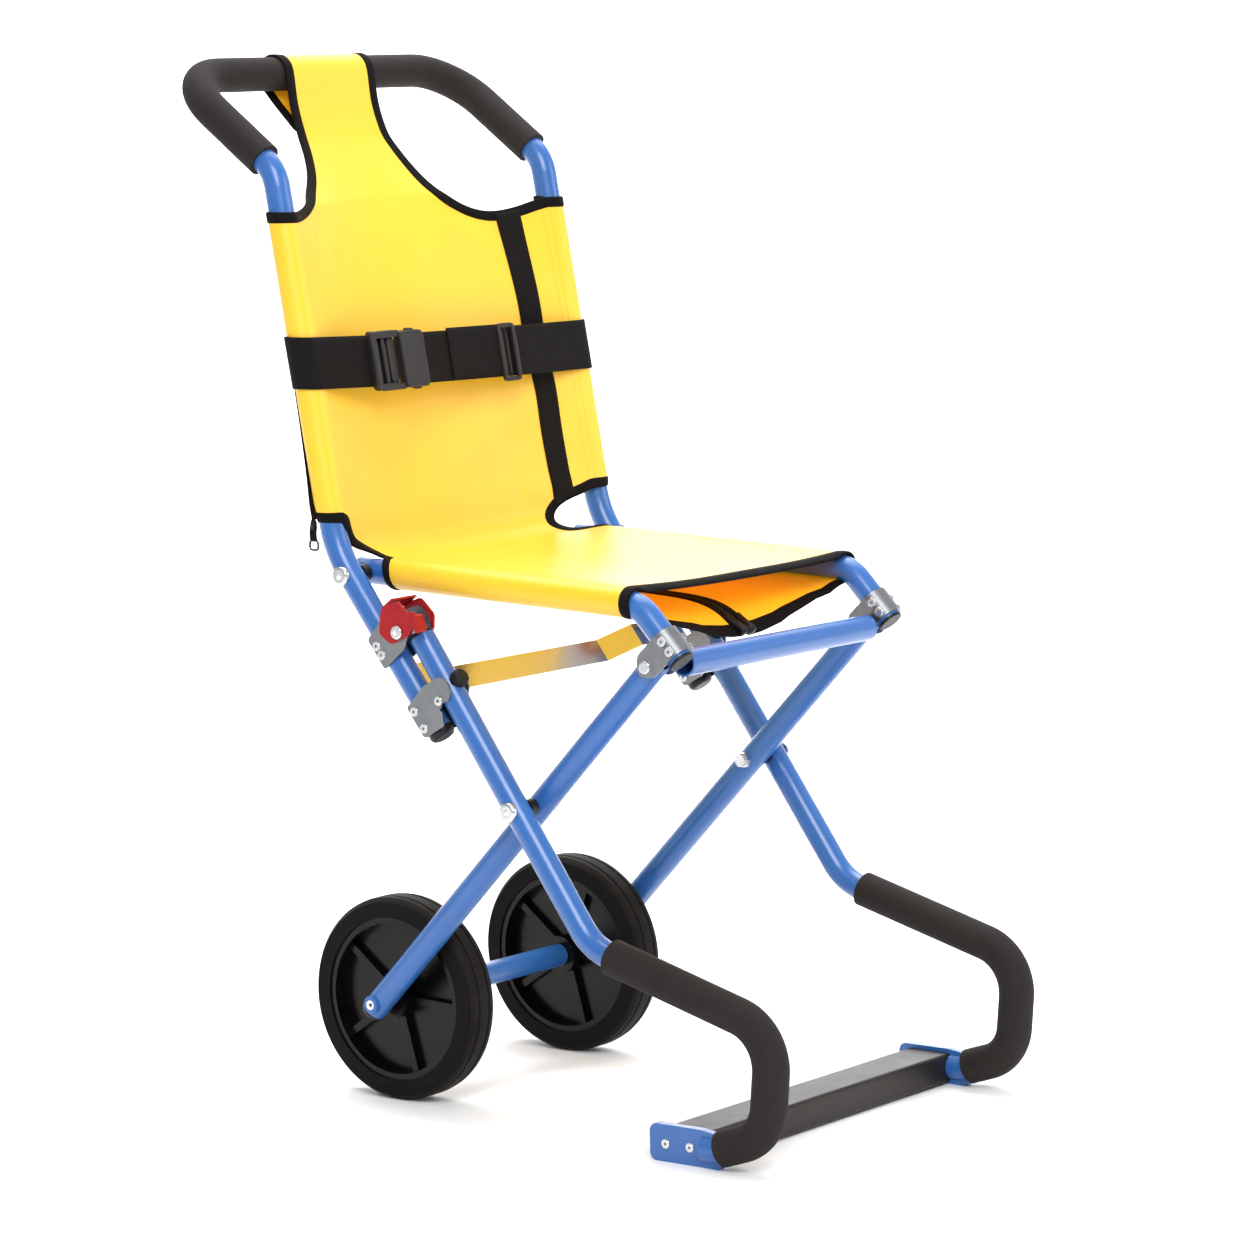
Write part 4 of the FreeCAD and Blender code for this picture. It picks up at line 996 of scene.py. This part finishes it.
# %% [markdown]
# Under the seat the two flaps meet at a zip down the middle. The flaps' own binding makes its
# tapes, so only the teeth are added, with a stop at the front.

# %% Zip under the seat
f = np.linspace(-132, 155, 900)
path = np.stack([0 * f, -SHIFT - f, under_height(0 * f, f) - 0.4], 1) * MM
seat_zip = tube("seat_zip_teeth", path, (2.0 + 0.4 * np.sin(f * 2 * np.pi / 2.6)) * MM, 6)
stops = []
for side in (-1, 1):
    q = np.linspace(0, 1, 10)[:, None]
    start = np.array([side * 8.5, -SHIFT - 141.0, under_height(8.0, 141.0) + 2.5])
    front_end = np.array([side * 5.5, -SHIFT - 161.0, under_height(5.0, 158.0) + 3.5])
    stops.append(tube("seat_zip_stop" + TAG[side], (start + q * (front_end - start)) * MM,
                      (3.2 + 1.8 * q[:, 0]) * MM, 14))
print("seat zip", len(seat_zip.data.polygons), "faces")

# %% [markdown]
# The belt is one length of 50 mm webbing. It starts at one half of the buckle, runs through the
# adjuster, round the right sleeve, behind the sling, round the left sleeve, and back to the
# other half. Its path is two straight runs, two half circles and a bowed rear run, and the
# webbing's height leans with the back tubes.

# %% Belt
BELT_R = 16.1
BELT_WIDE = 50.0


def belt_centre(x):
    """Height of the belt's middle line: a few millimetres lower on the right than on the left."""
    return np.interp(x, [-225, -120, 0, 120, 225], [721.5, 717.5, 715.5, 714.0, 713.5])


def belt_strip(name, plan, thick, raised=0.0):
    """Webbing along a plan of (x, distance forward of the tube line) points."""
    plan = even_steps(np.asarray(plan, float), 3.0)
    h = np.linspace(-0.5, 0.5, 11) * BELT_WIDE * 0.983
    way, gone = along(plan, False)
    out = np.stack([-way[:, 1], way[:, 0]], 1)
    z = belt_centre(plan[:, 0])[:, None] + h + raised
    ripple = 0.25 * np.sin(gone / 37.0)[:, None] + 0.2 * np.cos(gone / 61.0)[:, None] * (h / 25.0)
    x = plan[:, :1] + out[:, :1] * ripple
    f = tube_line(z) + plan[:, 1:] + out[:, 1:] * ripple
    points = np.stack([x + 0 * z, -SHIFT - f, z], -1) * MM
    uv = np.stack([gone[:, None] + 0 * h, h + 0 * gone[:, None]], -1) * MM
    obj = arrays_to_mesh(name, points, grid_faces(len(plan), len(h))[:, ::-1], uv)
    obj.data.materials.append(finishes["belt_webbing"])
    thicken(obj, thick * MM)
    return obj, gone[-1]


half = np.linspace(np.pi / 2, -np.pi / 2, 30)
bow = np.linspace(BACK_X, -BACK_X, 40)
plan = np.concatenate([
    [(-56.0, BELT_R)], np.stack([BACK_X + BELT_R * np.cos(half), BELT_R * np.sin(half)], 1),
    np.stack([bow, -BELT_R - 23.0 * (1 - (bow / BACK_X) ** 2)], 1)[1:-1],
    np.stack([-BACK_X - BELT_R * np.cos(half[::-1]), BELT_R * np.sin(half[::-1])], 1),
    [(-135.0, BELT_R), (-94.0, BELT_R - 1.0)]])
belt, belt_long = belt_strip("belt_webbing", plan, 1.7)
tail_plan = [(-12.0, BELT_R + 2.1), (30.0, BELT_R + 2.2), (60.0, BELT_R + 2.6), (76.0, BELT_R + 3.4)]
tail, tail_long = belt_strip("belt_tail", tail_plan, 1.6, raised=2.6)
print("belt", round(belt_long), "mm round,", round(tail_long), "mm tail")

# %% [markdown]
# The buckle is a side release one: the half on the left has a rail that the belt turns round and
# two arms, and the half on the right is a broad plate with a sprung tab at its top and bottom. The
# adjuster is a frame with a bar across it. Moulded parts like these are blocks with round edges, so
# each is a superquadric: a ball whose sines and cosines are raised to a small power.

# %% Moulded blocks, the buckle and the adjuster
def block(name, x, up_, out, half, power=0.28, rows=20, cols=48):
    """A block with rounded edges, centred at x, at a height above the belt's middle line, and out
    from the belt's face. Every coordinate is half the size times a sine or cosine to a power."""
    def bent(v):
        return np.sign(v) * np.abs(v) ** power
    v, u = np.meshgrid(np.linspace(-np.pi / 2, np.pi / 2, rows),
                       np.linspace(-np.pi, np.pi, cols, endpoint=False), indexing="ij")
    ring = bent(np.cos(v))
    a = np.stack([ring * bent(np.cos(u)), ring * bent(np.sin(u)), bent(np.sin(v))], -1)
    px = x + half[0] * a[..., 0]
    pz = belt_centre(x) + up_ + half[1] * a[..., 1]
    pf = tube_line(pz) + BELT_R + out + half[2] * a[..., 2]
    points = np.stack([px, -SHIFT - pf, pz], -1) * MM
    obj = arrays_to_mesh(name, points, grid_faces(rows, cols, wrap_cols=True))
    turn_outwards(obj, merge=1e-6)
    obj.data.materials.append(finishes["buckle_plastic"])
    return obj


buckle = [
    block("buckle_rail", -127.5, 0, 2.5, (4.6, 28.5, 5.2), 0.5),
    block("buckle_arm_top", -106, 25.0, 2.0, (19, 3.6, 4.2), 0.35),
    block("buckle_arm_low", -106, -25.0, 2.0, (19, 3.6, 4.2), 0.35),
    block("buckle_bar", -112, 0, 2.2, (3.0, 24, 2.6), 0.6),
    block("buckle_tongue", -98.5, 0, 0.6, (6.0, 22, 1.8), 0.4),
    block("buckle_plate", -72.5, 0.5, 3.4, (18.0, 27.5, 5.4), 0.22),
    block("buckle_tab_top", -70.5, 27.0, 2.9, (4.2, 3.0, 3.6), 0.4),
    block("buckle_tab_low", -70.5, -26.0, 2.9, (4.2, 3.0, 3.6), 0.4),
    block("buckle_lip", -55.5, 0, 2.6, (2.6, 26.0, 4.6), 0.5),
]
adjuster = [
    block("adjuster_rail_left", 66.0, -0.5, 3.8, (3.0, 28.0, 2.8), 0.55),
    block("adjuster_rail_right", 88.0, -0.5, 3.8, (3.0, 28.0, 2.8), 0.55),
    block("adjuster_bar", 77.0, -0.5, 2.4, (2.2, 25.5, 1.8), 0.6),
    block("adjuster_top", 77.0, 26.0, 3.4, (12.0, 2.2, 2.2), 0.5),
    block("adjuster_low", 77.0, -27.0, 3.4, (12.0, 2.2, 2.2), 0.5),
]
print("buckle", len(buckle), "pieces; adjuster", len(adjuster))

# %% [markdown]
# Last, the pieces that ride whole are told what they move with. The sling, its binding and its strip
# cross the back's hinge; their placement is only baked into their points. Everything else rides whole.

# %% What moves with what
start = (0.0, (-SHIFT - -186.0) * MM, 0.560)
end = (0.0, (-SHIFT - -150.0) * MM, 0.530)
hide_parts("back_cover", "back_sleeve_left", "back_sleeve_right", "seat_cover",
            "seat_sleeve_left", "seat_sleeve_right", "seat_flaps")
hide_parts("belt_left", "belt_right", "belt_rear")
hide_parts("buckle_socket")
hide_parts("buckle_plug")
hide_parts("belt_adjuster")
for piece in (cloth, binding, strip):
    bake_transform(piece)
for piece in (*zips, belt, tail, *buckle, *adjuster):
    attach(piece, "back")
for piece in (seat_zip, *stops):
    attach(piece, "seat")
2 * WRAP_SEAT * MM
belt_long * MM

# %% Sizes, and done
bpy.context.view_layer.update()
